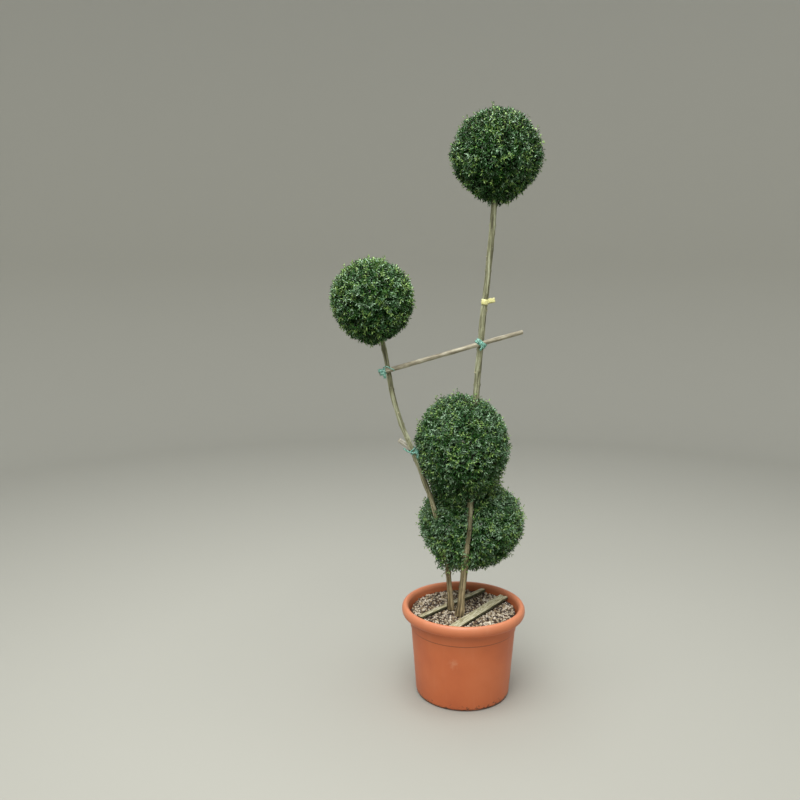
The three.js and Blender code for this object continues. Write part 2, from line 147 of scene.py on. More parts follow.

# %% [markdown]
# ## Meshes from arrays
# A clipped ball has thousands of leaves, so every mesh here is made from arrays of points and triangles in
# one go. Adding them one by one would take minutes. Each piece rides on the part's only body, and takes its
# finish.


# %% A piece from points and triangles
def add_piece(name, shape, finish, grain=None, replaces=()):
    """One object from (points, triangles). Grain is a place for each point, for patterns to follow."""
    points, triangles = shape
    mesh = bpy.data.meshes.new(name)
    mesh.vertices.add(len(points))
    mesh.vertices.foreach_set("co", np.asarray(points, np.float32).ravel())
    mesh.loops.add(3 * len(triangles))
    mesh.loops.foreach_set("vertex_index", np.asarray(triangles, np.int32).ravel())
    mesh.polygons.add(len(triangles))
    mesh.polygons.foreach_set("loop_start", 3 * np.arange(len(triangles), dtype=np.int32))
    mesh.update(calc_edges=True)
    mesh.shade_smooth()
    if grain is not None:
        layer = mesh.attributes.new("grain", "FLOAT_VECTOR", "POINT")
        layer.data.foreach_set("vector", np.asarray(grain, np.float32).ravel())
    mesh.materials.append(finish)
    piece = bpy.data.objects.new(name, mesh)
    bpy.context.scene.collection.objects.link(piece)
    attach(piece, "root")
    if replaces:
        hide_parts(*replaces)
    return piece


# %% Joining shapes, unit vectors and even angles
def join(shapes):
    """Several (points, triangles) as one."""
    counts = np.cumsum([0] + [len(points) for points, _ in shapes])
    points = np.concatenate([points for points, _ in shapes])
    triangles = np.concatenate([faces + start for (_, faces), start in zip(shapes, counts)])
    return points, triangles


def unit(vectors):
    """The same directions with length 1."""
    vectors = np.asarray(vectors, float)
    return vectors / np.maximum(np.linalg.norm(vectors, axis=-1, keepdims=True), 1e-9)


def angles_round(sides):
    """Even angles round a circle."""
    return np.arange(sides) * 2 * np.pi / sides


# %% A skin over rings of points
def with_middles(rings):
    """All points of the rings in one list, then the middle of the first ring and of the last."""
    return np.concatenate([rings.reshape(-1, 3), rings[[0, -1]].mean(axis=1)])


def skin(rings, closed=True):
    """Skin over rings that run the same way round, with a fan over each end where it is closed."""
    count, around = rings.shape[:2]
    here = np.arange(around)
    after = (here + 1) % around
    start = around * np.arange(count - 1)[:, None]
    low, low_next = start + here, start + after
    high, high_next = low + around, low_next + around
    triangles = [
        np.stack([low, low_next, high_next], -1).reshape(-1, 3),
        np.stack([low, high_next, high], -1).reshape(-1, 3),
    ]
    if closed:
        last = around * (count - 1)
        middle = np.full(around, count * around)
        triangles.append(np.stack([middle, after, here], -1))
        triangles.append(np.stack([middle + 1, last + here, last + after], -1))
    points = with_middles(rings) if closed else rings.reshape(-1, 3)
    return points, np.concatenate(triangles)


# %% Bumps that repeat exactly
def ripples(points, wavelength, seed, waves=14):
    """Smooth bumps of size about 1: waves in mixed directions, with one length or one for each axis."""
    dice = np.random.default_rng(seed)
    directions = unit(dice.normal(size=(waves, 3))) / dice.uniform(0.6, 1.5, (waves, 1))
    phases = dice.uniform(0, 2 * np.pi, waves)
    turns = (np.asarray(points) / np.asarray(wavelength)) @ directions.T
    return np.sin(2 * np.pi * turns + phases).sum(axis=-1) * math.sqrt(2 / waves)


print("bumps at one point:", ripples(np.zeros(3), 1, 0).round(3))

# %% [markdown]
# ## Pot
# The real pot is injection-moulded polypropylene: a round wall with a shallow band, and a fat rim
# that turns over and is open below. A turned profile gives all of that, because every section
# through the axis is the same. Its roll and foot are arcs with many steps, so that highlights run
# smoothly along them.

# %% Pot sizes
POT = {
    "height": 336.5 * mm, "wall": 3.5 * mm, "foot_radius": 157 * mm, "foot_round": 15 * mm,
    "band_height": 255 * mm, "band_radius": 191 * mm, "band_step": 2.5 * mm,
    "neck_height": 292 * mm, "neck_radius": 194.5 * mm,
    "rim_radius": 225 * mm, "rim_width": 25.2 * mm, "rim_drop": 39.2 * mm, "lip_turn": 120,
}
POT_SIDES = 224


# %% Arcs of a profile
def arc(centre, radii, start, end, steps):
    """Points of an ellipse from one angle to another, in degrees."""
    angles = np.radians(np.linspace(start, end, steps))
    return np.stack([centre[0] + radii[0] * np.cos(angles), centre[1] + radii[1] * np.sin(angles)], -1)


# %% Pot profile, from the middle of the underside round to the middle of the floor inside
rim_centre = (POT["rim_radius"] - POT["rim_width"] / 2, POT["height"] - POT["rim_drop"] / 2)
roll = np.array([POT["rim_width"] / 2, POT["rim_drop"] / 2])
wall = POT["wall"]
step = POT["band_step"]
outer_foot = POT["foot_radius"] + POT["foot_round"]
lip_angle = math.radians(-POT["lip_turn"])
lip_middle = np.array(rim_centre) + (roll - wall / 2) * [math.cos(lip_angle), math.sin(lip_angle)]
pot_profile = np.concatenate([
    [(0, 0), (60 * mm, 0), (118 * mm, 0), (POT["foot_radius"] - 6 * mm, 0)],
    arc((POT["foot_radius"], POT["foot_round"]), (POT["foot_round"],) * 2, -90, -3.4, 12),
    [(POT["band_radius"] - 0.2 * mm, POT["band_height"] - 1.7 * step)],
    arc((POT["band_radius"] + 0.8 * mm, POT["band_height"] - step), (1.2 * mm, 1.6 * mm), 180, 90, 4),
    arc((POT["band_radius"] + 1.4 * mm, POT["band_height"]), (1.1 * mm, 1.1 * mm), -60, 20, 5),
    [(POT["band_radius"] + 2.9 * mm, POT["band_height"] + 18 * mm)],
    [(POT["neck_radius"], POT["neck_height"])],
    arc(rim_centre, roll - wall, 180, -POT["lip_turn"], 26),
    arc(lip_middle, (wall / 2,) * 2, 60, -120, 7)[1:-1],
    arc(rim_centre, roll, -POT["lip_turn"], 180, 38),
    [(POT["neck_radius"] - wall, POT["neck_height"])],
    [(POT["band_radius"] - wall, POT["band_height"])],
    [(outer_foot - 1.3 * wall, POT["foot_round"]), (POT["foot_radius"], wall), (0, wall)],
])
print("pot profile:", len(pot_profile), "points, rim radius", pot_profile[:, 0].max().round(4), "m")


# %% Turning a profile about the upright axis
def turned(profile, sides):
    """Skin of a profile that starts and ends on the axis."""
    turns = angles_round(sides)
    radius = np.maximum(profile[:, 0], 0.1 * mm)[:, None]
    rings = np.stack([
        radius * np.cos(turns), radius * np.sin(turns), np.repeat(profile[:, 1:2], sides, axis=1),
    ], -1)
    return skin(rings)


# %% [markdown]
# ### Moulded polypropylene
# The plastic is coloured right through and satin: light spreads over it but still draws a line along the
# rim. Weather adds dried runs and a pale smudge, and soil sticks at the foot. The rim and the wall inside
# it are paler, partly from sun bleaching and partly as painted light on the lit rim and the shaded inner
# wall, and a dark line of painted shade lies in the step of the band. The skin of the mould is a fine
# grain, shown by bump only.

# %% Pot finish: the plastic's own tone
POT_GRAIN = 1.5 * mm
pot_plastic, add, shader = new_finish(
    "moulded polypropylene, terracotta", {"IOR": 1.49, "Roughness": 0.42},
)
place = add("TexCoord").outputs["Object"]
height = add("SeparateXYZ", {}, {"Vector": place}).outputs["Z"]
drift = add("TexNoise", {"Scale": 7.0, "Detail": 3.0}, {"Vector": place})
tone = add("ValToRGB", {"stops": [(0.35, "#cb6a3e"), (0.52, "#d27041"), (0.7, "#d67648")]}, {"Fac": drift})

# %% Pale wear and painted light: dried runs, one ragged smudge, and a paler rim and inner wall, partly sun bleaching and partly painted light
SMUDGE = (-47 * mm, -182 * mm, 184 * mm)
run_place = add("Mapping", {"Scale": (26, 26, 3.2)}, {"Vector": place})
runs = add("TexNoise", {"Scale": 1.0, "Detail": 4.0, "Roughness": 0.65}, {"Vector": run_place})
run_share = add("MapRange", {"From Min": 0.55, "From Max": 0.8, "To Max": 0.14}, {"Value": runs})
speckle = add("TexNoise", {"Scale": 70.0, "Detail": 4.0, "Roughness": 0.7}, {"Vector": place})
from_smudge = add("VectorMath", {"operation": "DISTANCE", 1: SMUDGE}, {0: place})
ragged = add("Math", {"operation": "MULTIPLY_ADD", 1: 44 * mm}, {0: speckle, 2: from_smudge})
smudge_share = add(
    "MapRange", {"From Min": 41 * mm, "From Max": 25 * mm, "To Max": 0.36}, {"Value": ragged},
)
# The paler top is partly sun bleaching and partly painted light, which lifts the lit rim and the shaded
# wall inside it.
bleach_and_rim_light = add(
    "MapRange", {"From Min": POT["height"] - 32 * mm, "From Max": POT["height"] - 8 * mm, "To Max": 0.34},
    {"Value": height},
)
pale_share = add("Math", {"operation": "ADD"}, {0: smudge_share, 1: bleach_and_rim_light})
all_pale = add("Math", {"operation": "ADD"}, {0: pale_share, 1: run_share})
paled_tone = add("Mix", {"data_type": "RGBA", 7: linear("#dfa784")}, {0: all_pale, 6: tone})

# %% Soil specks at the foot, and a dark line of painted shade in the step of the band
near_foot = add(
    "MapRange", {"From Min": 3 * mm, "From Max": 40 * mm, "To Min": 0.16, "To Max": -0.16},
    {"Value": height},
)
soil_sum = add("Math", {"operation": "ADD"}, {0: speckle, 1: near_foot})
soil_share = add("MapRange", {"From Min": 0.6, "From Max": 0.7, "To Max": 0.85}, {"Value": soil_sum})
# The dark line in the step of the band is painted shade, drawn in the soil colour.
from_band = add("Math", {"operation": "SUBTRACT", 1: POT["band_height"] - 2.6 * mm}, {0: height})
beside_band = add("Math", {"operation": "ABSOLUTE"}, {0: from_band})
band_step_shade = add(
    "MapRange", {"From Min": 2.6 * mm, "From Max": 0.8 * mm, "To Max": 0.5}, {"Value": beside_band},
)
soil_and_step_shade = add("Math", {"operation": "MAXIMUM"}, {0: soil_share, 1: band_step_shade})
soiled_and_shaded = add("Mix", {"data_type": "RGBA", 7: linear("#4a3324")}, {0: soil_and_step_shade, 6: paled_tone})

# %% Gloss and grain of the mould
gloss = add(
    "MapRange", {"From Min": 0.3, "From Max": 0.75, "To Min": 0.36, "To Max": 0.52}, {"Value": runs},
)
mould = add("TexNoise", {"Scale": 1 / POT_GRAIN, "Detail": 2.0}, {"Vector": place})
relief = add("Bump", {"Strength": 0.12, "Distance": 0.4 * mm}, {"Height": mould})
link(shader, {"Base Color": soiled_and_shaded, "Roughness": gloss, "Normal": relief})

# %% Pot mesh, with a wall that is a few tenths of a millimetre out of true
pot_points, pot_faces = turned(pot_profile, POT_SIDES)
warp = 1 + 0.0012 * ripples(pot_points, (0.3, 0.3, 0.35), seed=11)[:, None] * [1, 1, 0]
pot = add_piece("container", (pot_points * warp, pot_faces), pot_plastic, replaces=["pot"])
print("pot triangles:", len(pot_faces))

# %% [markdown]
# ## Potting mix
# The pot holds a coarse nursery mix: pale pumice and dark bark in pieces of 5 to 15 mm, a little
# below the rim. A bumpy dark bed closes the pot, and a few thousand loose pieces lie on it. Each
# piece is a copy of one of a few lumps, stretched and turned by its own chance, and joined with
# the others of its colour.

# %% Bed under the loose pieces
MIX_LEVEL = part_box("potting_mix")[1].z
MIX_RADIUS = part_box("potting_mix")[1].x
SPIRAL = np.pi * (3 - np.sqrt(5))
BED_RINGS = 40
BED_SIDES = 160

bed_rings = []
for reach in np.linspace(0.02, 1, BED_RINGS):
    turn = angles_round(BED_SIDES)
    ring = np.stack([np.cos(turn), np.sin(turn), 0 * turn], -1) * MIX_RADIUS * reach
    ring[:, 2] = MIX_LEVEL - 5 * mm + 1.6 * mm * ripples(ring, 22 * mm, seed=21)
    bed_rings.append(ring)
bed_rings = [bed_rings[-1] * [1, 1, 0] + [0, 0, MIX_LEVEL - 20 * mm]] + bed_rings[::-1]
bed_shape = skin(np.array(bed_rings))

# %% Crushed stone and bark finishes
STONE_PORE = 1.8 * mm


def mix_finish(name, low, high):
    """Finish of one kind of loose piece: its tone drifts from piece to piece and it is pitted."""
    finish, add, shader = new_finish(name, {"Roughness": 0.92, "IOR": 1.5})
    place = add("TexCoord").outputs["Object"]
    patches = add("TexNoise", {"Scale": 75.0, "Detail": 3.0}, {"Vector": place})
    tone = add("ValToRGB", {"stops": [(0.38, low), (0.62, high)]}, {"Fac": patches})
    pores = add("TexVoronoi", {"Scale": 1 / STONE_PORE}, {"Vector": place})
    relief = add("Bump", {"Strength": 0.7, "Distance": 0.5 * mm}, {"Height": pores})
    link(shader, {"Base Color": tone, "Normal": relief})
    return finish


bed_finish = mix_finish("damp fine bark", "#2a2018", "#4b3a2a")
add_piece("mix_bed", bed_shape, bed_finish, replaces=["potting_mix"])


# %% Lumps that every loose piece is a copy of
def lump_shapes(kinds, seed):
    """Points of a few dented balls, and the triangles that they share."""
    ball = bmesh.new()
    bmesh.ops.create_icosphere(ball, subdivisions=2, radius=1)
    points = np.array([corner.co for corner in ball.verts])
    triangles = np.array([[corner.index for corner in face.verts] for face in ball.faces])
    ball.free()
    dents = [1 + 0.17 * ripples(points, 1.7, seed + kind)[:, None] for kind in range(kinds)]
    return np.array([points * dent for dent in dents]), triangles


def turns_at_random(count, dice):
    """Rotation matrices in all directions, from random quaternions."""
    w, x, y, z = unit(dice.normal(size=(count, 4))).T
    rows = [
        [1 - 2 * (y * y + z * z), 2 * (x * y - z * w), 2 * (x * z + y * w)],
        [2 * (x * y + z * w), 1 - 2 * (x * x + z * z), 2 * (y * z - x * w)],
        [2 * (x * z - y * w), 2 * (y * z + x * w), 1 - 2 * (x * x + y * y)],
    ]
    return np.array(rows).transpose(2, 0, 1)


# %% Slats and stems that the loose pieces lie round
SLATS = {
    "slat_front": {
        "offset": 70 * mm, "angle": math.radians(52), "width": 36 * mm, "half_length": 173 * mm,
    },
    "slat_back": {
        "offset": -51.5 * mm, "angle": math.radians(44.2), "width": 20 * mm, "half_length": 179 * mm,
    },
}
SLAT_RISE = 6 * mm
SLAT_THICKNESS = 9 * mm
SLAT_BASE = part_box("slat_front")[0].z


def under_slat(points, margin):
    """Which points lie under a slat or nearer to it than the margin."""
    covered = np.zeros(len(points), bool)
    for slat in SLATS.values():
        along = points[:, 0] * math.cos(slat["angle"]) + points[:, 1] * math.sin(slat["angle"])
        across = points[:, 0] * math.sin(slat["angle"]) - points[:, 1] * math.cos(slat["angle"])
        beside = abs(across - slat["offset"]) < slat["width"] / 2 + margin
        covered |= beside & (abs(along) < slat["half_length"] + margin)
    return covered


# %% Loose pieces, kind by kind
# Each kind has its share of the pieces, half size, form, and darkest and lightest tone.
MIX_KINDS = {
    "pumice_pale": (0.28, 4.8 * mm, (1.0, 0.85, 0.7), ("#a6977e", "#ddd2be")),
    "pumice_tan": (0.22, 4.6 * mm, (1.0, 0.8, 0.7), ("#76654c", "#ab9878")),
    "bark_brown": (0.3, 5.8 * mm, (1.0, 0.5, 0.28), ("#3a2a1e", "#6b5340")),
    "lava_dark": (0.2, 4.2 * mm, (1.0, 0.85, 0.75), ("#2e2722", "#5c5048")),
}
MIX_COUNT = 3400
LUMP_KINDS = 7
STEM_FEET = np.array([[-17, -58], [-45, -5]]) * mm
FOOT_MARGIN = 15 * mm

dice = np.random.default_rng(22)
order = np.arange(MIX_COUNT)
reach = np.sqrt((order + 0.5) / MIX_COUNT) * (MIX_RADIUS - 4 * mm)
spots = np.stack([reach * np.cos(order * SPIRAL), reach * np.sin(order * SPIRAL), 0 * reach], -1)
spots[:, :2] += dice.normal(0, 2 * mm, (MIX_COUNT, 2))
kind_draw = dice.random(MIX_COUNT)
lumps, lump_faces = lump_shapes(LUMP_KINDS, seed=23)
near_stem = (np.linalg.norm(spots[:, None, :2] - STEM_FEET, axis=-1) < FOOT_MARGIN).any(axis=1)
passed = 0.0
for kind_name, (share, size, form, tones) in MIX_KINDS.items():
    chosen = (kind_draw >= passed) & (kind_draw < passed + share) & ~near_stem
    passed += share
    centres = spots[chosen]
    count = len(centres)
    sizes = size * dice.uniform(0.65, 1.4, (count, 1))
    lying_low = under_slat(centres, 4 * mm)
    centres[:, 2] = MIX_LEVEL - 3.2 * mm + dice.uniform(-1.5, 2.2, count) * mm
    centres[lying_low, 2] = MIX_LEVEL - sizes[lying_low, 0] - 0.5 * mm
    reach_out = np.linalg.norm(centres[:, :2], axis=1, keepdims=True) + sizes
    centres[:, :2] *= np.minimum(1, (MIX_RADIUS - 0.5 * mm) / reach_out)
    shapes = lumps[dice.integers(0, LUMP_KINDS, count)] * form * sizes[:, None]
    shapes = np.einsum("nij,nkj->nki", turns_at_random(count, dice), shapes) + centres[:, None]
    starts = len(lumps[0]) * np.arange(count)[:, None, None]
    shape = (shapes.reshape(-1, 3), (lump_faces + starts).reshape(-1, 3))
    finish = mix_finish(kind_name.replace("_", " "), *tones)
    add_piece("mix_" + kind_name, shape, finish)
    print(kind_name, count, "pieces")

# %% [markdown]
# ## Slats
# Two offcuts of sawn slat are wedged across the mix to hold it in the pot. They are grey-green with weather
# and patches of moss, with dark flanks of painted shade, a fibrous face, chipped edges and broken ends.
# Each is a skin over many sections along the board, which lets the edges wander and the face carry its
# grain as real relief.


# %% A limb's sections along a line
def sections(line, outline, width_way):
    """Rings along a line: outline is (sections, around, 2), or one outline for all, in metres."""
    forward = unit(np.gradient(line, axis=0))
    side = unit(width_way - (forward * width_way).sum(-1, keepdims=True) * forward)
    rise = np.cross(forward, side)
    outline = np.broadcast_to(outline, (len(line),) + np.shape(outline)[-2:])
    return (
        line[:, None] + outline[..., :1] * side[:, None] + outline[..., 1:] * rise[:, None]
    )


def board_outline(width, thickness, corner, steps=5):
    """Rounded rectangle, with extra points along its long sides."""
    half = np.array([width, thickness]) / 2 - corner
    corners = [(1, -1, -90), (1, 1, 0), (-1, 1, 90), (-1, -1, 180)]
    points = []
    for sign_x, sign_y, start in corners:
        points.append(arc((sign_x * half[0], sign_y * half[1]), (corner, corner), start, start + 90, 3))
        if sign_x == sign_y:
            stops = np.linspace(half[0], -half[0], steps + 2)[1:-1] * sign_x
            points.append(np.stack([stops, np.full(steps, sign_y * (half[1] + corner))], -1))
    return np.concatenate(points)


# %% Weathered pine, sawn
# The grain runs along the board about 3 mm apart, with patches of moss. The flanks and ends, which turn
# away from the light above, take the moss colour as painted shade.
GRAIN_GAP = 3 * mm
slat_wood, add, shader = new_finish("weathered sawn pine", {"Roughness": 0.88, "IOR": 1.5})
grain = add("Attribute", {"attribute_name": "grain"}).outputs["Vector"]
stretch = add("Mapping", {"Scale": (1 / 14, 1 / 2.2, 1 / 2.2)}, {"Vector": grain})
fibre = add("TexNoise", {"Scale": 1.6 / GRAIN_GAP, "Detail": 4.0, "Roughness": 0.6}, {"Vector": stretch})
tone = add(
    "ValToRGB", {"stops": [(0.3, "#60583d"), (0.42, "#9a916d"), (0.56, "#c1bb9b"), (0.76, "#e6e3cf")]},
    {"Fac": fibre},
)
moss_noise = add("TexNoise", {"Scale": 45.0, "Detail": 4.0}, {"Vector": grain})
# Faces that turn away from upright get the dark moss colour: painted shade on the flanks and ends.
facing = add("NewGeometry").outputs["Normal"]
facing_up = add("SeparateXYZ", {}, {"Vector": facing}).outputs["Z"]
flank_shade = add(
    "MapRange", {"From Min": 0.9, "From Max": 0.3, "To Min": -0.17, "To Max": 0.42}, {"Value": facing_up},
)
moss_and_flank_shade = add("Math", {"operation": "ADD"}, {0: moss_noise, 1: flank_shade})
moss_and_shade_share = add("MapRange", {"From Min": 0.5, "From Max": 0.72, "To Max": 0.85}, {"Value": moss_and_flank_shade})
moss_and_shade_tone = add("Mix", {"data_type": "RGBA", 7: linear("#343b1f")}, {0: moss_and_shade_share, 6: tone})
relief = add("Bump", {"Strength": 0.6, "Distance": 0.5 * mm}, {"Height": fibre})
link(shader, {"Base Color": moss_and_shade_tone, "Normal": relief})

# %% Slat meshes
BOARD_STEPS = 120
BREAK = 2.5 * mm
nail_points = []
for seed, (slat_name, slat) in enumerate(SLATS.items(), start=31):
    along = np.linspace(-slat["half_length"], slat["half_length"], BOARD_STEPS)
    way = np.array([math.cos(slat["angle"]), math.sin(slat["angle"]), 0])
    left = np.array([-way[1], way[0], 0])
    line = -slat["offset"] * left + along[:, None] * way
    line[:, 2] = SLAT_BASE + SLAT_THICKNESS / 2 + SLAT_RISE * (1 + along / slat["half_length"]) / 2
    outline = board_outline(slat["width"], SLAT_THICKNESS, 0.9 * mm)
    across = np.broadcast_to(outline, (BOARD_STEPS,) + outline.shape)
    grain = np.concatenate([np.repeat(along[:, None, None], len(outline), axis=1), across], -1) + seed
    wander = 0.5 * mm * abs(ripples(grain, (35 * mm, 9 * mm, 9 * mm), seed)) * np.sign(across[..., 0])
    fibres = 0.18 * mm * ripples(grain, (60 * mm, 3 * mm, 3 * mm), seed + 5)
    rings = sections(line, outline, left)
    rings = rings - 0.6 * wander[..., None] * left + fibres[..., None] * Z_AXIS
    for end, inward in ((0, 1), (-1, -1)):
        broken = BREAK * (1 + ripples(grain[end], (1, 6 * mm, 6 * mm), seed + 9))
        rings[end] += inward * broken[:, None] * way
    board = skin(rings)
    add_piece(slat_name + "_board", board, slat_wood, with_middles(grain), [slat_name])
    for share in (-0.62, 0.08, 0.66):
        spot = np.argmin(abs(along - share * slat["half_length"]))
        nail_points.append(line[spot] + left * 3 * mm + SLAT_THICKNESS / 2 * Z_AXIS)
print("slats:", list(SLATS), "nails:", len(nail_points))

# %% Rusted nail heads, nearly level with the boards
rust = mottled(
    "rusted steel", {"Roughness": 0.85, "Metallic": 0.25}, {"Scale": 900.0, "Detail": 3.0},
    [(0.35, "#2b1d16"), (0.65, "#5a3a28")],
)
NAIL_PROFILE = np.array([(0, -1.2), (2.1, -1.2), (2.3, 0.0), (1.7, 0.3), (0.8, 0.45), (0, 0.5)]) * mm
nail = turned(NAIL_PROFILE, 14)
add_piece("nail_heads", join([(nail[0] + spot, nail[1]) for spot in nail_points]), rust)

# %% [markdown]
# ## Stems
# Privet bark is thin, grey-brown and nearly smooth: fine cracks run up it, and pairs of small scars
# mark where leaves and side shoots stood, each pair at right angles to the last. The centre line
# and the thickness are measured on the solid's rings, so the bark sits exactly where the stem is.
# The relief is real geometry, because a thin limb shows it along its outline.


# %% Measuring an upright limb
def rings_of(node):
    """Centre and radius of each ring of a solid whose rings are level: x, y, z and radius."""
    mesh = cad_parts[node].data
    points = np.zeros(3 * len(mesh.vertices), np.float32)
    mesh.vertices.foreach_get("co", points)
    points = np.unique(points.reshape(-1, 3).astype(float).round(5), axis=0)
    found = []
    for height in np.unique(points[:, 2].round(4)):
        level = points[abs(points[:, 2] - height) < 0.2 * mm]
        centre = level.mean(axis=0)
        found.append([*centre, np.linalg.norm(level - centre, axis=1).max()])
    return np.array(found)


def smooth_line(stations, per_span):
    """Stations joined by a smooth curve, with the same number of steps in each span."""
    slopes = np.gradient(stations, axis=0)
    t = np.linspace(0, 1, per_span, endpoint=False)[:, None, None]
    spans = (
        (2 * t**3 - 3 * t**2 + 1) * stations[:-1] + (t**3 - 2 * t**2 + t) * slopes[:-1]
        + (3 * t**2 - 2 * t**3) * stations[1:] + (t**3 - t**2) * slopes[1:]
    )
    return np.concatenate([spans.transpose(1, 0, 2).reshape(-1, stations.shape[1]), stations[-1:]])


STEM_STEPS = 26
STEM_LINES = {name: smooth_line(rings_of(name), STEM_STEPS) for name in ("stem_main", "stem_left")}
for name, line in STEM_LINES.items():
    print(name, "from", line[0, :3].round(3), "to", line[-1, :3].round(3))


def at_height(line, height):
    """The values of a line at one height or many: x, y, z and the radius where it has one."""
    return np.stack([np.interp(height, line[:, 2], values) for values in line.T], -1)


# %% Bark relief
LIMB_SIDES = 28
SCAR_SPACING = 68 * mm


def round_outline(radius, angles):
    """Outline of a round section, with one radius or one for each angle."""
    return np.stack([radius * np.cos(angles), radius * np.sin(angles)], -1)


def laid_straight(radius, angles, along):
    """Where each point of a limb's skin is once the limb is laid straight."""
    across = round_outline(radius, angles)
    return np.concatenate([across, (along[:, None] + 0 * radius)[..., None]], -1)


def distance_along(line):
    """Length of a line up to each of its points."""
    return np.concatenate([[0], np.cumsum(np.linalg.norm(np.diff(line[:, :3], axis=0), axis=1))])


def bark_rings(line, seed):
    """Rings of a barked limb, and the place of each point in the straightened bark."""
    dice = np.random.default_rng(seed)
    angles = angles_round(LIMB_SIDES)
    along = distance_along(line)
    radius = line[:, 3:4] * np.ones(LIMB_SIDES)
    bark = laid_straight(radius, angles, along)
    radius = radius + 0.28 * mm * ripples(bark, (5 * mm, 5 * mm, 55 * mm), seed)
    radius += 0.42 * mm * ripples(bark, (26 * mm, 26 * mm, 90 * mm), seed + 1)
    place, pair = 20 * mm, 0
    while place < along[-1]:
        from_pair = along[:, None] - place
        radius += 0.5 * mm * np.exp(-((from_pair / (7 * mm)) ** 2))
        for side in (0, np.pi):
            turn = pair * np.pi / 2 + side + dice.normal(0, 0.2)
            away = line[:, 3:4] * np.angle(np.exp(1j * (angles - turn)))
            size = dice.uniform(0.7, 2.2) * mm
            radius += size * np.exp(-((from_pair / (4.5 * mm)) ** 2) - (away / (4 * mm)) ** 2)
        place += SCAR_SPACING * dice.uniform(0.7, 1.35)
        pair += 1
    return sections(line[:, :3], round_outline(radius, angles), X_AXIS), bark


# %% Privet bark
# Streaks are 4 mm apart round the stem and long up it, under broader ones of 10 mm. Near the mix the
# bark is browner.
BARK_STREAK = 4 * mm
LENTICEL_SPACING = 7 * mm
LOW_BARK = (0.31, 0.95)
BARK_TONES = {"low": "#4f4c38", "middle": "#888869", "high": "#c2c5a6", "damp": "#ffcdac"}

privet_bark, add, shader = new_finish("privet bark", {"Roughness": 0.82, "IOR": 1.48})
grain = add("Attribute", {"attribute_name": "grain"}).outputs["Vector"]
stretch = add("Mapping", {"Scale": (1, 1, 0.085)}, {"Vector": grain})
streak = add("TexNoise", {"Scale": 1 / BARK_STREAK, "Detail": 4.0, "Roughness": 0.62}, {"Vector": stretch})
broad = add("TexNoise", {"Scale": 0.4 / BARK_STREAK, "Detail": 2.0}, {"Vector": stretch})
both = add("Mix", {0: 0.55}, {2: streak, 3: broad})
bark_stops = [(0.38, BARK_TONES["low"]), (0.5, BARK_TONES["middle"]), (0.62, BARK_TONES["high"])]
tone = add("ValToRGB", {"stops": bark_stops}, {"Fac": both})

# %% Pale pores, damp foot and relief of the bark
squash = add("Mapping", {"Scale": (0.55, 0.55, 1.0)}, {"Vector": grain})
pores = add("TexVoronoi", {"Scale": 1 / LENTICEL_SPACING}, {"Vector": squash})
pore_share = add("MapRange", {"From Min": 0.17, "From Max": 0.1, "To Max": 0.55}, {"Value": pores})
spotted = add("Mix", {"data_type": "RGBA", 7: linear(BARK_TONES["high"])}, {0: pore_share, 6: tone})
height = add("SeparateXYZ", {}, {"Vector": add("TexCoord").outputs["Object"]}).outputs["Z"]
damp_share = add(
    "MapRange", {"From Min": LOW_BARK[1], "From Max": LOW_BARK[0], "To Max": 0.6}, {"Value": height},
)
damp_tone = add(
    "Mix", {"data_type": "RGBA", "blend_type": "MULTIPLY", 7: linear(BARK_TONES["damp"])},
    {0: damp_share, 6: spotted},
)
relief = add("Bump", {"Strength": 0.55, "Distance": 0.5 * mm}, {"Height": both})
link(shader, {"Base Color": damp_tone, "Normal": relief})

# %% Stem meshes
for seed, (name, line) in enumerate(STEM_LINES.items(), start=41):
    rings, bark = bark_rings(line, seed)
    shape = skin(rings)
    add_piece(name + "_bark", shape, privet_bark, with_middles(bark), [name])
    print(name, len(shape[1]), "triangles")


# %% [markdown]
# ### Pruned side shoots
# The bare stems were cleaned of side shoots, which leaves short stubs with a pale cut face. Each
# stub is a small limb that starts inside the stem, leans up and ends in a flat cut.


# %% Places on a stem
def stem_at(name, height):
    """Centre, direction and radius of a stem at a height."""
    behind, here, ahead = at_height(STEM_LINES[name], height + np.array([-10, 0, 10]) * mm)
    return here[:3], unit((ahead - behind)[:3]), here[3]


def rod(start, end, radii, sides=10, steps=2):
    """A tapering rod between two points."""
    share = np.linspace(0, 1, steps)[:, None]
    line = start + share * (end - start)
    outline = round_outline(radii[0] + share * (radii[1] - radii[0]), angles_round(sides))
    way = X_AXIS if abs(unit(end - start)[0]) < 0.8 else Z_AXIS
    return skin(sections(line, outline, way))


# %% Fresh-cut wood
cut_wood = mottled(
    "cut privet wood", {"Roughness": 0.8}, {"Scale": 480.0, "Detail": 3.0},
    [(0.35, "#a3906c"), (0.65, "#d9cba8")],
)

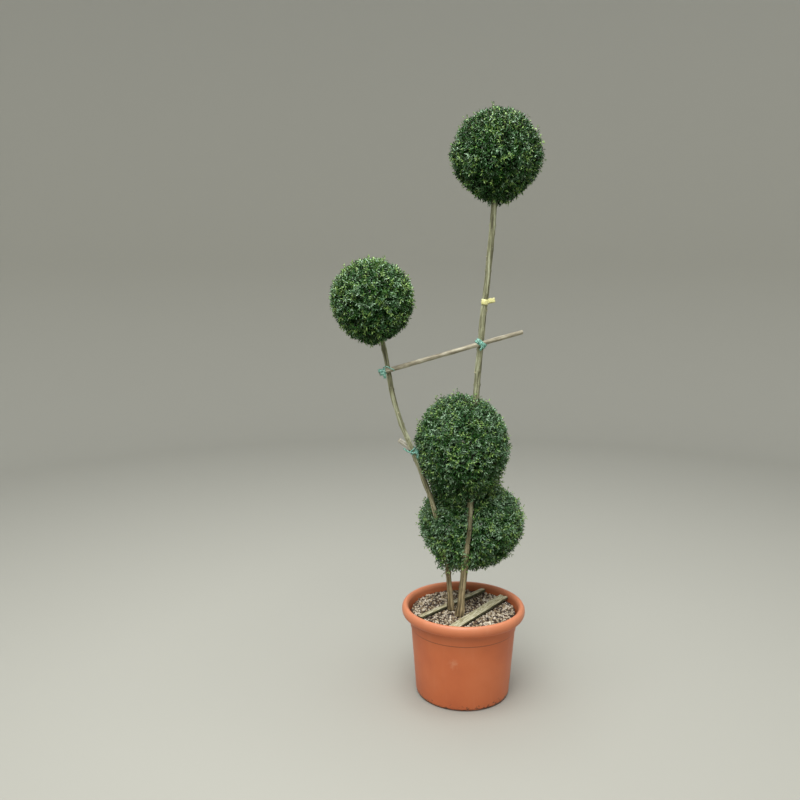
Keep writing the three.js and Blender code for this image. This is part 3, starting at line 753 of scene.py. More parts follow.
# %% Stubs
# Each has its stem, its height in metres, its direction in degrees and its length in millimetres.
STUBS = [
    ("stem_main", 0.412, 150, 7.5), ("stem_main", 1.185, 215, 8.0), ("stem_main", 1.402, 330, 6.0),
    ("stem_main", 1.588, 195, 7.0), ("stem_main", 1.664, 20, 6.5), ("stem_left", 0.452, 300, 6.5),
    ("stem_left", 0.704, 250, 8.0), ("stem_left", 0.838, 60, 6.0), ("stem_left", 1.048, 285, 7.0),
    ("stem_left", 1.126, 130, 6.0),
]
STUB_RISE = math.radians(48)
stubs, cuts = [], []
for name, height, turn, length in STUBS:
    centre, direction, radius = stem_at(name, height)
    out = np.array([math.cos(math.radians(turn)), math.sin(math.radians(turn)), 0])
    way = math.cos(STUB_RISE) * out + math.sin(STUB_RISE) * direction
    end = centre + out * radius * 0.8 + way * length * mm
    stubs.append(rod(centre + out * radius * 0.3, end, (3.4 * mm, 2.5 * mm)))
    cuts.append(rod(end - 0.2 * mm * way, end + 0.35 * mm * way, (2.15 * mm, 2.0 * mm)))
stub_shape = join(stubs)
add_piece("pruned_stubs", stub_shape, privet_bark, stub_shape[0])
add_piece("stub_cuts", join(cuts), cut_wood)

# %% [markdown]
# ## Canes
# Two straight sticks hold the stems apart. They are dry and peeled, with faint rings where twigs
# stood and a clean saw cut at each end. Both lie against the stems where they cross, so their line
# is worked out from the heights of the crossings, as on the solids.

# %% Cane lines
CANES = {
    "spreader_cane_long": {
        "radius": 8 * mm, "side": -1, "stem_left": 1204 * mm, "stem_main": 1292.5 * mm,
        "overhang": (31 * mm, 152 * mm),
    },
    "spreader_cane_short": {
        "radius": 8.5 * mm, "side": 1, "stem_left": 912 * mm, "stem_main": 756 * mm,
        "overhang": (60 * mm, 18 * mm),
    },
}
CANE_GAP = 0.5 * mm


def cane_ends(cane):
    """Both ends of a cane that lies beside the two stems."""
    crossings = []
    for name in ("stem_left", "stem_main"):
        centre, _, radius = stem_at(name, cane[name])
        crossings.append(centre + cane["side"] * (radius + cane["radius"] + CANE_GAP) * Y_AXIS)
    way = unit(crossings[1] - crossings[0])
    return crossings[0] - way * cane["overhang"][0], crossings[1] + way * cane["overhang"][1]


# %% Peeled cane
def cane_finish(name, low, middle, high):
    """Dry peeled wood: fine fibres along the stick with broad weathered patches."""
    finish, add, shader = new_finish(name, {"Roughness": 0.82, "IOR": 1.5})
    grain = add("Attribute", {"attribute_name": "grain"}).outputs["Vector"]
    stretch = add("Mapping", {"Scale": (1, 1, 0.05)}, {"Vector": grain})
    fibre = add("TexNoise", {"Scale": 320.0, "Detail": 3.0}, {"Vector": stretch})
    patch = add("TexNoise", {"Scale": 24.0, "Detail": 3.0}, {"Vector": grain})
    both = add("Mix", {0: 0.5}, {2: fibre, 3: patch})
    tone = add("ValToRGB", {"stops": [(0.36, low), (0.5, middle), (0.64, high)]}, {"Fac": both})
    relief = add("Bump", {"Strength": 0.4, "Distance": 0.3 * mm}, {"Height": fibre})
    link(shader, {"Base Color": tone, "Normal": relief})
    return finish


CANE_TONES = {
    "spreader_cane_long": ("#6f6756", "#97907a", "#bab59f"),
    "spreader_cane_short": ("#9c978a", "#c8c4b4", "#ebe6da"),
}

# %% Cane meshes and their cut ends
CANE_STEPS = 150
CANE_SIDES = 24
cane_cuts = []
for seed, (name, cane) in enumerate(CANES.items(), start=51):
    start, end = cane_ends(cane)
    share = np.linspace(0, 1, CANE_STEPS)
    line = start + share[:, None] * (end - start)
    way = unit(end - start)
    turn = angles_round(CANE_SIDES)
    radius = cane["radius"] * (1.03 - 0.06 * share[:, None]) * np.ones(CANE_SIDES)
    along = distance_along(line)
    grain = laid_straight(radius, turn, along)
    radius += 0.14 * mm * ripples(grain, (4 * mm, 4 * mm, 80 * mm), seed)
    radius += 0.22 * mm * ripples(grain, (30 * mm, 30 * mm, 60 * mm), seed + 1)
    for knot in np.arange(46 * mm, along[-1], 97 * mm):
        radius += 0.55 * mm * np.exp(-(((along[:, None] - knot) / (4 * mm)) ** 2))
    radius[[0, -1]] -= 0.7 * mm
    shape = skin(sections(line, round_outline(radius, turn), Y_AXIS))
    finish = cane_finish("peeled stick, " + name[14:], *CANE_TONES[name])
    add_piece(name + "_stick", shape, finish, with_middles(grain), [name])
    small = cane["radius"] * 0.9
    for tip, inward in ((start, way), (end, -way)):
        inner, outer = tip + 0.4 * mm * inward, tip - 0.15 * mm * inward
        cane_cuts.append(rod(inner, outer, (small, small * 0.97), CANE_SIDES))
    print(name, "length", round(float(along[-1]), 3), "m")
add_piece("cane_cuts", join(cane_cuts), cut_wood)

# %% [markdown]
# ## Ties
# Thin green film is wound a few turns round stem and cane, knotted, and torn off with its ends
# hanging. A wound strip is a flat section swept along a closed path: a rounded rectangle round both
# limbs, tilted a little more or less with each turn, as a hand winds it.

# %% Polyethylene tying film
# Stretched film is glossy and creased. Its tone follows the crease noise: a deep teal in the folds, partly
# painted shade, and a whitish teal on the crests, a painted highlight.
CREASE = 2.5 * mm
film = mottled(
    "stretched polyethylene film", {"Roughness": 0.3, "IOR": 1.51},
    {"Scale": 1 / CREASE, "Detail": 3.0, "Distortion": 0.8},
    [(0.36, "#275e50"), (0.5, "#66a691"), (0.64, "#bde6d7")], {"Strength": 0.8, "Distance": 0.6 * mm},
)


# %% Strips and their paths
def strip(path, width_way, width, thickness, seed):
    """A creased flat strip along a path."""
    outline = np.array([(-1, 0), (-0.5, -1), (0.5, -1), (1, 0), (0.5, 1), (-0.5, 1)]) * 0.5
    outline = outline * [width, thickness]
    rings = sections(path, outline, width_way)
    return skin(rings + 0.35 * mm * ripples(rings, 9 * mm, seed)[..., None] * Y_AXIS)


def curve(start, middle, end, steps=14):
    """A bend from start to end that is drawn towards middle."""
    t = np.linspace(0, 1, steps)[:, None]
    return (1 - t) ** 2 * start + 2 * t * (1 - t) * middle + t**2 * end


# %% Winding round a crossing
TIE_THICKNESS = 1.3 * mm
FILM_STEPS = 44


def tie_frame(stem, cane):
    """Centre, directions and half sizes of the winding round a stem and a cane."""
    centre, stem_way, radius = stem_at(stem, cane[stem])
    start, end = cane_ends(cane)
    cane_way = unit(end - start)
    cane_way = cane_way * np.sign(stem_way @ cane_way)
    wide = unit((stem_way - cane_way) * [1, 0, 1])
    across = np.cross(wide, Y_AXIS)
    angle = math.acos(abs(wide @ stem_way))
    slant = 7 * mm / math.tan(angle)
    half_width = max(radius, cane["radius"]) / math.sin(angle) + slant + 1.6 * mm
    half_depth = radius + cane["radius"] + CANE_GAP / 2 + 1.6 * mm
    centre = centre + cane["side"] * (cane["radius"] + CANE_GAP / 2) * Y_AXIS
    return centre, wide, across, half_width, half_depth


def winding(centre, wide, across, half_width, half_depth, turns, width, seed):
    """Turns of strip round a crossing."""
    dice = np.random.default_rng(seed)
    turn = np.linspace(0, 2 * np.pi, FILM_STEPS)
    round_x, round_y = (np.sign(wave) * abs(wave) ** 0.6 for wave in (np.cos(turn), np.sin(turn)))
    shapes = []
    for number in range(turns):
        slide = (number / max(1, turns - 1) - 0.5) * 9 * mm
        tilt = dice.normal(0, 0.22)
        proud = 0.4 * mm * number
        path = centre + (half_width + proud) * round_x[:, None] * wide
        path = path + (half_depth + proud) * round_y[:, None] * Y_AXIS
        path = path + (slide + tilt * half_width * np.sin(turn + 0.6))[:, None] * across
        shapes.append(strip(path, across, width, TIE_THICKNESS, seed + number))
    return shapes


def wound_on_cane(cane, places, seed):
    """Turns of strip round the cane alone, at places along it from the crossing."""
    start, end = cane_ends(cane)
    way = unit(end - start)
    crossing = start + way * cane["overhang"][0]
    turn = np.linspace(0, 2 * np.pi, FILM_STEPS)[:, None]
    side = unit(np.cross(way, Y_AXIS))
    shapes = []
    for number, place in enumerate(places):
        radius = cane["radius"] * 1.04 + (1.2 + 0.5 * number) * mm
        path = crossing + place * mm * way + radius * (np.cos(turn) * side + np.sin(turn) * Y_AXIS)
        path = path + 2.5 * mm * np.sin(turn + number) * way
        shapes.append(strip(path, way, 10 * mm, TIE_THICKNESS, seed + number))
    return shapes


# %% Knots and torn ends
# Places are in millimetres to the right and up from the crossing. An end has its tip, the point that
# its bend is drawn towards, and its width.
TIES = {
    "tie_left": {
        "stem": "stem_left", "cane": "spreader_cane_long", "turns": 1, "width": 4 * mm,
        "on_cane": (-11, -16, -21, -26), "knot": (-24, -3),
        "ends": [((-34, -3), (-30, 6), 11), ((-11, -27), (-9, -12), 11)],
    },
    "tie_right": {
        "stem": "stem_main", "cane": "spreader_cane_long", "turns": 3, "width": 8 * mm,
        "on_cane": (), "knot": (-3, 1),
        "ends": [((-4, -22), (6, -10), 8), ((-14, 15), (-8, 10), 6)],
    },
    "tie_short": {
        "stem": "stem_left", "cane": "spreader_cane_short", "turns": 2, "width": 6 * mm,
        "on_cane": (), "knot": (15, -4),
        "ends": [((22, 7), (18, 6), 12), ((16, -25), (22, -10), 8), ((-32, 12), (-14, -6), 6)],
    },
}
for seed, (name, tie) in enumerate(TIES.items(), start=61):
    cane = CANES[tie["cane"]]
    tie_place = tie_frame(tie["stem"], cane)
    shapes = winding(*tie_place, tie["turns"], tie["width"], 10 * seed)
    shapes += wound_on_cane(cane, tie["on_cane"], 10 * seed + 3)
    front = tie_place[0] * [1, 0, 1] + (tie_place[0][1] - tie_place[4] - 2 * mm) * Y_AXIS

    def beside(offset, forward):
        """A point beside the crossing, so many millimetres to the right, up and forward."""
        return front + (offset[0] * X_AXIS + offset[1] * Z_AXIS - forward * Y_AXIS) * mm

    knot = lump_shapes(1, seed)
    knot_points = knot[0][0] * np.array([7, 4, 5.5]) * mm + beside(tie["knot"], 0)
    shapes.append((knot_points, knot[1]))
    for number, (end, bend, width) in enumerate(tie["ends"]):
        path = curve(beside(tie["knot"], 0), beside(bend, 5), beside(end, -2))
        width_way = unit(np.cross(Y_AXIS, unit(path[-1] - path[0]))) + 0.3 * Y_AXIS
        shapes.append(strip(path, width_way, width * mm, 0.9 * mm, 10 * seed + 5 + number))
    add_piece(name + "_film", join(shapes), film, replaces=[name])
    print(name, "half width", round(tie_place[3] * 1000, 1), "mm")

# %% [markdown]
# ## Marker tape
# A short length of plain yellow tape is wrapped once round the main stem, and its two ends are
# pressed together as a flag. The wrap is a thin sleeve a little off the bark. The two ends part at
# the tip, as stuck tape does, which gives the small notch in the flag's upper edge.

# %% Yellow vinyl
vinyl = mottled(
    "yellow vinyl tape", {"Roughness": 0.4, "IOR": 1.52}, {"Scale": 160.0, "Detail": 3.0},
    [(0.35, "#d8d388"), (0.6, "#f0ecae")],
)

# %% Sleeve and flag
TAPE_HEIGHT = 1436 * mm
TAPE_WIDTH = 20 * mm
# Both ends have a length, a rise in degrees, a height and a place in front of the stem's middle.
FLAGS = [(24, 13, 17, 1.6), (11, 24, 16.5, 2.4)]
centre, direction, radius = stem_at("stem_main", TAPE_HEIGHT)
side = unit(np.cross(direction, Y_AXIS))
depth = np.cross(direction, side)
turn = np.linspace(0, 2 * np.pi, 49)[:, None]
path = centre + (radius + 1.3 * mm) * (np.cos(turn) * side + np.sin(turn) * depth)
shapes = [strip(path, direction, TAPE_WIDTH, 0.7 * mm, 71)]
for number, (length, rise, height, forward) in enumerate(FLAGS):
    angle = math.radians(rise)
    way = math.cos(angle) * X_AXIS + math.sin(angle) * Z_AXIS
    root = centre + (radius + 0.4 * mm) * X_AXIS - (forward + 0.3 * radius / mm) * mm * Y_AXIS
    root = root + 0.12 * TAPE_WIDTH * direction
    reach = np.linspace(-3, length, 14)[:, None] * mm
    wave = 0.8 * mm * np.sin(reach / (5 * mm) + number) * Y_AXIS
    flag_way = math.cos(angle) * Z_AXIS - math.sin(angle) * X_AXIS
    shapes.append(strip(root + reach * way + wave, flag_way, height * mm, 0.6 * mm, 72 + number))
add_piece("marker_tape_wrap", join(shapes), vinyl, replaces=["marker_tape"])
print("tape round a stem of radius", round(radius * 1000, 1), "mm")

# %% [markdown]
# ## Clipped balls of foliage
# A pompom grows as any shrub does: limbs fork into twigs, twigs into shoots, and each shoot carries
# opposite pairs of small leaves. Shears keep all of it inside a ball. The solids grow by a seeded
# rule of even directions, and the same rule is written here and carried on to finer twigs. Because
# every place comes from a formula, the plant is the same each time that it is grown.

# %% The rule of the solids
POMPOMS = {
    "pompom_top": {"centre": (96, 0, 1922), "radii": (163, 163, 164), "seed": 1, "foot_taper": 0.1},
    "pompom_left": {"centre": (-328, -45, 1440), "radii": (149, 149, 152), "seed": 2, "foot_taper": 0.05},
    "pompom_middle": {"centre": (-13, 0, 920), "radii": (177, 173, 199), "seed": 3, "foot_taper": 0.04},
    "pompom_bottom": {"centre": (32, 80, 613), "radii": (202, 178, 176), "seed": 4, "foot_taper": 0.05},
}
for ball in POMPOMS.values():
    ball["centre"] = np.array(ball["centre"]) * mm
    ball["radii"] = np.array(ball["radii"]) * mm
BOUGHS = 12
TWIGS = 33
BOUGH_REACH = 0.55
BOUGH_RISE = 0.3
LUMPS = 0.05
LUMP_WAVES = 5


def chance(seed, index, draw):
    """Repeatable chance between 0 and 1 for a numbered twig."""
    wave = np.sin(seed * 12.9898 + np.asarray(index) * 78.233 + draw * 37.719) * 43758.5453
    return wave - np.floor(wave)


def even_directions(count):
    """Directions spread evenly over a sphere by the golden angle."""
    order = np.arange(count)
    height = 1 - (2 * order + 1) / count
    ring = np.sqrt(1 - height**2)
    return np.stack([ring * np.cos(order * SPIRAL), ring * np.sin(order * SPIRAL), height], -1)


def unevenness(ball, directions):
    """How far a ball reaches along each direction, as a part of its half sizes."""
    shift = ball["seed"] * np.array([1, 2, 3])
    waves = np.sin(LUMP_WAVES * directions + shift).sum(axis=-1, keepdims=True)
    height = directions[..., 2:3]
    underside = 2 * np.maximum(0, -height) * np.sqrt(np.maximum(0, 1 - height**2))
    return 1 + LUMPS * waves / 6 - ball["foot_taper"] * underside


def point_at(ball, directions, reach):
    """Points along directions, where reach 1 is the clipped surface."""
    return ball["centre"] + directions * ball["radii"] * reach * unevenness(ball, directions)


def reach_of(ball, points):
    """Distance from a ball's centre measured in its own half sizes."""
    inside = (points - ball["centre"]) / ball["radii"]
    return np.linalg.norm(inside, axis=-1) / unevenness(ball, unit(inside))[..., 0]


def reach_of_others(ball, points):
    """Distance from the nearest other ball's centre measured in that ball's half sizes."""
    return np.min([reach_of(other, points) for other in POMPOMS.values() if other is not ball], axis=0)


def in_own_space(ball, points, limit, overlap):
    """Which points are within a limit of a ball, and no further than an overlap past its neighbours."""
    own = reach_of(ball, points)
    return (own <= limit) & (own < reach_of_others(ball, points) + overlap)


# %% Where boughs start: on the stem inside a ball, or on a leader above the stem's tip
def leader_point(name, height):
    """Point of the leader or stem of a ball at each height."""
    ball = POMPOMS[name]
    stem = STEM_LINES["stem_left" if name == "pompom_left" else "stem_main"]
    if name in ("pompom_middle", "pompom_bottom"):
        return at_height(stem, height)[..., :3]
    tip = stem[-1, :3]
    share = np.clip((height - tip[2]) / (ball["centre"][2] - tip[2]), 0.1, 1)
    return tip + share[..., None] * (ball["centre"] - tip)


def nearest(directions, parents):
    """For each direction, the number of the parent that points most nearly the same way."""
    return np.argmax(directions @ parents.T, axis=1)


# %% Curved twigs, many at a time
def bent(starts, bends, ends, steps):
    """Paths (twig, step, 3) from starts to ends, drawn towards bends."""
    t = np.linspace(0, 1, steps)[None, :, None]
    start, bend, end = (part[:, None] for part in (starts, bends, ends))
    return (1 - t) ** 2 * start + 2 * t * (1 - t) * bend + t**2 * end


def twig_skins(paths, first_radius, last_radius, sides):
    """One shape of many tapering twigs."""
    count, steps = paths.shape[:2]
    way = unit(paths[:, -1] - paths[:, 0])
    side = unit(np.cross(way, np.where(abs(way[:, 2:]) < 0.9, Z_AXIS, X_AXIS)))
    rise = np.cross(way, side)
    turn = angles_round(sides)
    radius = np.linspace(first_radius, last_radius, steps)[:, None, None]
    spokes = np.cos(turn)[:, None] * side[:, None, None] + np.sin(turn)[:, None] * rise[:, None, None]
    rings = paths[:, :, None] + radius * spokes
    _, faces = skin(rings[0])
    points = np.concatenate([
        rings.reshape(count, steps * sides, 3), rings[:, [0, -1]].mean(axis=2),
    ], axis=1)
    faces = faces + points.shape[1] * np.arange(count)[:, None, None]
    return points.reshape(-1, 3), faces.reshape(-1, 3)


# %% Limbs that the foliage keeps off
def limb_points():
    """Points along stems and canes, each with the radius that is to stay free."""
    found = []
    for line in STEM_LINES.values():
        found.append(smooth_line(line[::max(1, len(line) // 60)], 4))
    for cane in CANES.values():
        start, end = cane_ends(cane)
        stick = start + np.linspace(0, 1, 120)[:, None] * (end - start)
        found.append(np.concatenate([stick, np.full((len(stick), 1), cane["radius"])], axis=1))
    return np.concatenate(found)


LIMB_POINTS = limb_points()


def clear_of_limbs(points, margin):
    """Which points keep a margin to every stem and cane."""
    low, high = points.min(axis=0) - 40 * mm, points.max(axis=0) + 40 * mm
    near = LIMB_POINTS[((LIMB_POINTS[:, :3] > low) & (LIMB_POINTS[:, :3] < high)).all(axis=1)]
    if not len(near):
        return np.ones(len(points), bool)
    gaps = [
        (np.linalg.norm(part[:, None] - near[:, :3], axis=-1) - near[:, 3]).min(axis=1)
        for part in np.array_split(points, 1 + len(points) // 20000)
    ]
    return np.concatenate(gaps) > margin


print("limb points kept free:", len(LIMB_POINTS))

# %% [markdown]
# ### Boughs, twigs and shoots
# Four orders of limbs fill a ball. Boughs leave the stem, twigs fork from the boughs in the solids'
# 33 directions, and side twigs and shoots fork from those in many more. Each limb starts on the
# nearest one of the order before it, part of the way along, and bends outwards. The shoots are set
# about 11 mm apart over the surface, so a bigger ball has more of them. Shears don't get into the
# crease between two balls, nor close to the stems below the lowest one, so shoots are longer there.

# %% Twig bark
twig_bark = mottled(
    "young privet bark", {"Roughness": 0.75, "IOR": 1.48}, {"Scale": 60.0, "Detail": 2.0},
    [(0.35, "#33361f"), (0.65, "#5e6340")],
)

# %% Growing the limbs of one ball
SIDE_TWIGS = 260
SHOOT_SPACING = 11.2 * mm
SHOOT_REACH = 0.975
TUFT_DEPTH = 0.045
SHOOT_DEPTH = 0.05
SHOOT_BEND = 0.15
LEAN_UP = 13 * mm
LEAN_ABOUT = 6 * mm
STRAY_SHARE = 0.06
STRAY_REACH = 0.05
STRAY_RISE = 14 * mm
DENT_WIDTH = 40 * mm
DENT_START = 1.1
DENT_DEPTH = 0.11
CREASE_REACH = 0.4
CREASE_GROWTH = 0.22
MEETING_START = 0.9
CLOSING_RATE = 1.8
LOW_SIDE = -0.2
STEM_REACH = 60 * mm
STEM_GROWTH = 0.32
SHOOT_LIMIT = 1.03
STRAY_LIMIT = 1.16
SHOOT_OVERLAP = 0.03
GROOVE = {"heights": (545 * mm, 722 * mm), "half_width": 9 * mm, "shift": 3 * mm, "way": (-0.084, 0.31)}


def unclipped(ball, points, outward):
    """How much longer shoots are in the crease to the next ball, and where the lowest hides a stem."""
    nearest_other = reach_of_others(ball, points)
    crease = CREASE_GROWTH * (1 + CREASE_REACH - nearest_other) / CREASE_REACH
    crease = np.minimum(crease, (nearest_other - MEETING_START) / CLOSING_RATE)
    beside = [points[:, :2] - at_height(line, points[:, 2])[:, :2] for line in STEM_LINES.values()]
    gap = np.min([np.hypot(*offsets.T) for offsets in beside], axis=0)
    by_stem = np.clip(1 - gap / STEM_REACH, 0, 1) * (outward[:, 2] < LOW_SIDE)
    by_stem *= ball is POMPOMS["pompom_bottom"]
    return np.maximum(np.maximum(crease, 0), STEM_GROWTH * by_stem)


def in_groove(points):
    """Which points lie in the groove that is open in front of the main stem."""
    stem = STEM_LINES["stem_main"]
    forward = at_height(stem, points[:, 2])[:, 1] - points[:, 1]
    height = points[:, 2] - GROOVE["way"][1] * forward
    middle = at_height(stem, height)[:, 0] + GROOVE["way"][0] * forward + GROOVE["shift"]
    low, high = GROOVE["heights"]
    beside = abs(points[:, 0] - middle) < GROOVE["half_width"]
    return (forward > 0) & (height > low) & (height < high) & beside


def grow_limbs(name):
    """Boughs, twigs, side twigs and shoots of a ball, as paths, with what the leaves need to know."""
    ball = POMPOMS[name]
    seed = ball["seed"]
    bough_ways = even_directions(BOUGHS)
    bough_ends = point_at(ball, bough_ways, BOUGH_REACH)
    heights = ball["centre"][2] + BOUGH_RISE * (bough_ends[:, 2] - ball["centre"][2])
    bough_starts = leader_point(name, heights)
    boughs = bent(bough_starts, (bough_starts + bough_ends) / 2 + 8 * mm * Z_AXIS, bough_ends, 5)

    twig_ways = even_directions(TWIGS)
    twig_starts = bough_ends[nearest(twig_ways, bough_ways)]
    twig_ends = point_at(ball, twig_ways, 0.8 - 0.05 * chance(seed, np.arange(TWIGS), 0)[:, None])
    twigs = bent(twig_starts, point_at(ball, twig_ways, 0.6), twig_ends, 5)

    order = np.arange(SIDE_TWIGS)
    side_ways = even_directions(SIDE_TWIGS)
    parent = nearest(side_ways, twig_ways)
    fork = 0.35 + 0.6 * chance(seed, order, 3)[:, None]
    side_starts = twig_starts[parent] + fork * (twig_ends[parent] - twig_starts[parent])
    side_ends = point_at(ball, side_ways, 0.85 - 0.06 * chance(seed, order, 4)[:, None])
    side_twigs = bent(side_starts, point_at(ball, side_ways, 0.72), side_ends, 4)

    surface = 4 * np.pi * np.mean(ball["radii"]) ** 2
    count = int(surface / SHOOT_SPACING**2)
    order = np.arange(count)
    dice = np.random.default_rng(100 + seed)
    ways = unit(even_directions(count) + dice.normal(0, 0.025, (count, 3)))
    tuft = nearest(ways, side_ways)
    fork = 0.3 + 0.7 * chance(seed, order, 5)[:, None]
    starts = side_starts[tuft] + fork * (side_ends[tuft] - side_starts[tuft])
    reach = SHOOT_REACH - TUFT_DEPTH * chance(seed, tuft, 9) - SHOOT_DEPTH * chance(seed, order, 6)
    dents = ripples(point_at(ball, ways, 1), DENT_WIDTH, seed) - DENT_START
    reach -= DENT_DEPTH * np.clip(dents, 0, 1)
    stray = chance(seed, order, 7) < STRAY_SHARE
    outward = unit(ways / ball["radii"])
    longer = unclipped(ball, point_at(ball, ways, 1), outward)
    reach += longer * (0.4 + 0.6 * chance(seed, order, 12))
    ends = point_at(ball, ways, (reach + STRAY_REACH * stray)[:, None])
    rise = stray * STRAY_RISE * chance(seed, order, 11) * np.maximum(0, outward[:, 2])
    ends += rise[:, None] * Z_AXIS
    lean = LEAN_UP * (Z_AXIS - outward[:, 2:3] * outward)
    near_ends = point_at(ball, ways, reach[:, None] - SHOOT_BEND) - lean
    near_ends += dice.normal(0, LEAN_ABOUT, (count, 3))
    limit = np.where(stray, STRAY_LIMIT, SHOOT_LIMIT) + longer
    free = ~in_groove(ends) & clear_of_limbs(ends, 2 * mm)
    return {
        "boughs": boughs, "twigs": twigs, "side_twigs": side_twigs,
        "shoots": bent(starts, near_ends, ends, 3), "outward": outward, "tuft": tuft, "stray": stray,
        "longer": longer, "free": free & in_own_space(ball, ends, limit, SHOOT_OVERLAP),
    }


grown = {name: grow_limbs(name) for name in POMPOMS}
for name, limbs in grown.items():
    print(name, "shoots kept", int(limbs["free"].sum()), "of", len(limbs["free"]))

# %% Limb meshes
for name, limbs in grown.items():
    ball = POMPOMS[name]
    thick = [
        twig_skins(limbs["boughs"], 5 * mm, 2.6 * mm, 7),
        twig_skins(limbs["twigs"], 2.6 * mm, 1.7 * mm, 6),
    ]
    if name in ("pompom_top", "pompom_left"):
        stem = STEM_LINES["stem_main" if name == "pompom_top" else "stem_left"]
        thick.append(rod(stem[-1, :3] - 2 * mm * Z_AXIS, ball["centre"], (stem[-1, 3] * 0.9, 4.5 * mm)))
    limb_shape = join(thick)
    add_piece(name + "_boughs", limb_shape, privet_bark, limb_shape[0])
    fine = [
        twig_skins(limbs["side_twigs"], 1.7 * mm, 1.1 * mm, 4),
        twig_skins(limbs["shoots"][limbs["free"]], 1.0 * mm, 0.55 * mm, 3),
    ]
    add_piece(name + "_twigs", join(fine), twig_bark)

# %% [markdown]
# ### Leaves
# A leaf of this privet is a pointed oval, about 14 mm long and a little over a third as wide, folded
# along its midrib. Four triangles on six points give that outline and fold. Leaves stand in
# opposite pairs, each pair at right angles to the last. Their stalks twist so that the glossy upper
# sides face the light, and their tips hang a little, which breaks up the surface of the ball.

# %% One leaf, with its root at the origin, its length along x and its upper side to +z
LEAF_OUTLINE = np.array([
    (0, 0, 0), (0.3, 0.45, 0.08), (0.68, 0.38, 0.05), (1, 0, -0.1), (0.68, -0.38, 0.05), (0.3, -0.45, 0.08),
])
LEAF_FACES = np.array([(0, 3, 2), (0, 2, 1), (0, 5, 4), (0, 4, 3)])
LEAF_LENGTH = 14 * mm
LEAF_WIDTH = 0.37
LEAF_PAIRS = 6
FIRST_PAIR = 0.3
SPREAD_LOW = 80
SPREAD_HIGH = 58
TIP_SPREAD = 34
OWN_SIDE = 0.3
OUTWARD_SIDE = 0.25
UNEVEN_SIDE = 0.5
DROOP = 0.35
LEAF_LIMIT = 1.05
STRAY_LEAF_LIMIT = 1.2
LEAF_OVERLAP = 0.08
LEAF_GAP = 1.5 * mm


def leaf_mesh(roots, along, upper, length, width):
    """One shape of many leaves."""
    side = unit(np.cross(upper, along))
    upper = np.cross(along, side)
    points = (
        roots[:, None]
        + LEAF_OUTLINE[:, 0:1] * (along * length)[:, None]
        + LEAF_OUTLINE[:, 1:2] * (side * width)[:, None]
        + LEAF_OUTLINE[:, 2:3] * (upper * length)[:, None]
    )
    faces = LEAF_FACES + len(LEAF_OUTLINE) * np.arange(len(roots))[:, None, None]
    return points.reshape(-1, 3), faces.reshape(-1, 3)


# %% Leaves of one ball
def grow_leaves(name, limbs):
    """Roots, directions, sizes, shoots and places on the shoot of the leaves in a ball's own space."""
    ball = POMPOMS[name]
    dice = np.random.default_rng(200 + ball["seed"])
    number = np.flatnonzero(limbs["free"])
    shoots = limbs["shoots"][number]
    outward = limbs["outward"][number]
    count, steps = shoots.shape[:2]
    axis = unit(shoots[:, -1] - shoots[:, -2])
    level = unit(np.cross(axis, Z_AXIS + 0.01 * X_AXIS))
    other = np.cross(axis, level)
    turn = dice.uniform(0, 2 * np.pi, count)
    rows = []
    for pair in range(LEAF_PAIRS):
        share = pair / (LEAF_PAIRS - 1)
        at_tip = pair == LEAF_PAIRS - 1
        spread = TIP_SPREAD if at_tip else SPREAD_LOW + (SPREAD_HIGH - SPREAD_LOW) * share
        size = 0.75 if at_tip else 1.0 - 0.2 * share
        place = (FIRST_PAIR + (1 - FIRST_PAIR) * share) * (steps - 1)
        low = min(int(place), steps - 2)
        root = shoots[:, low] + (place - low) * (shoots[:, low + 1] - shoots[:, low])
        for half in (0, np.pi):
            angle = turn + pair * np.pi / 2 + half + dice.normal(0, 0.25, count)
            out = np.cos(angle)[:, None] * level + np.sin(angle)[:, None] * other
            open_by = np.radians(spread + dice.normal(0, 13, count))[:, None]
            along = np.cos(open_by) * axis + np.sin(open_by) * out
            along = unit(along - DROOP * dice.random((count, 1)) * Z_AXIS)
            upper = OWN_SIDE * (np.sin(open_by) * axis - np.cos(open_by) * out)
            upper = upper + Z_AXIS + OUTWARD_SIDE * outward + dice.normal(0, UNEVEN_SIDE, (count, 3))
            length = LEAF_LENGTH * size * dice.uniform(0.75, 1.2, (count, 1))
            rows.append((root, along, upper, length, number, np.full(count, share)))
    roots, along, upper, length, number, share = (np.concatenate(part) for part in zip(*rows))
    tips = roots + along * length
    middles = roots + 0.5 * along * length
    limit = np.where(limbs["stray"][number], STRAY_LEAF_LIMIT, LEAF_LIMIT) + limbs["longer"][number]
    kept = in_own_space(ball, tips, limit, LEAF_OVERLAP)
    for places in (tips, middles):
        kept &= clear_of_limbs(places, LEAF_GAP) & ~in_groove(places)
    return (part[kept] for part in (roots, along, upper, length, number, share))


# %% Old leaves inside, which are larger and close the view through a ball
INNER_LEAVES = 18
INNER_LENGTH = 22 * mm
INNER_REACH = 0.92
INNER_OVERLAP = 0.04
INNER_WIDTH = 0.45


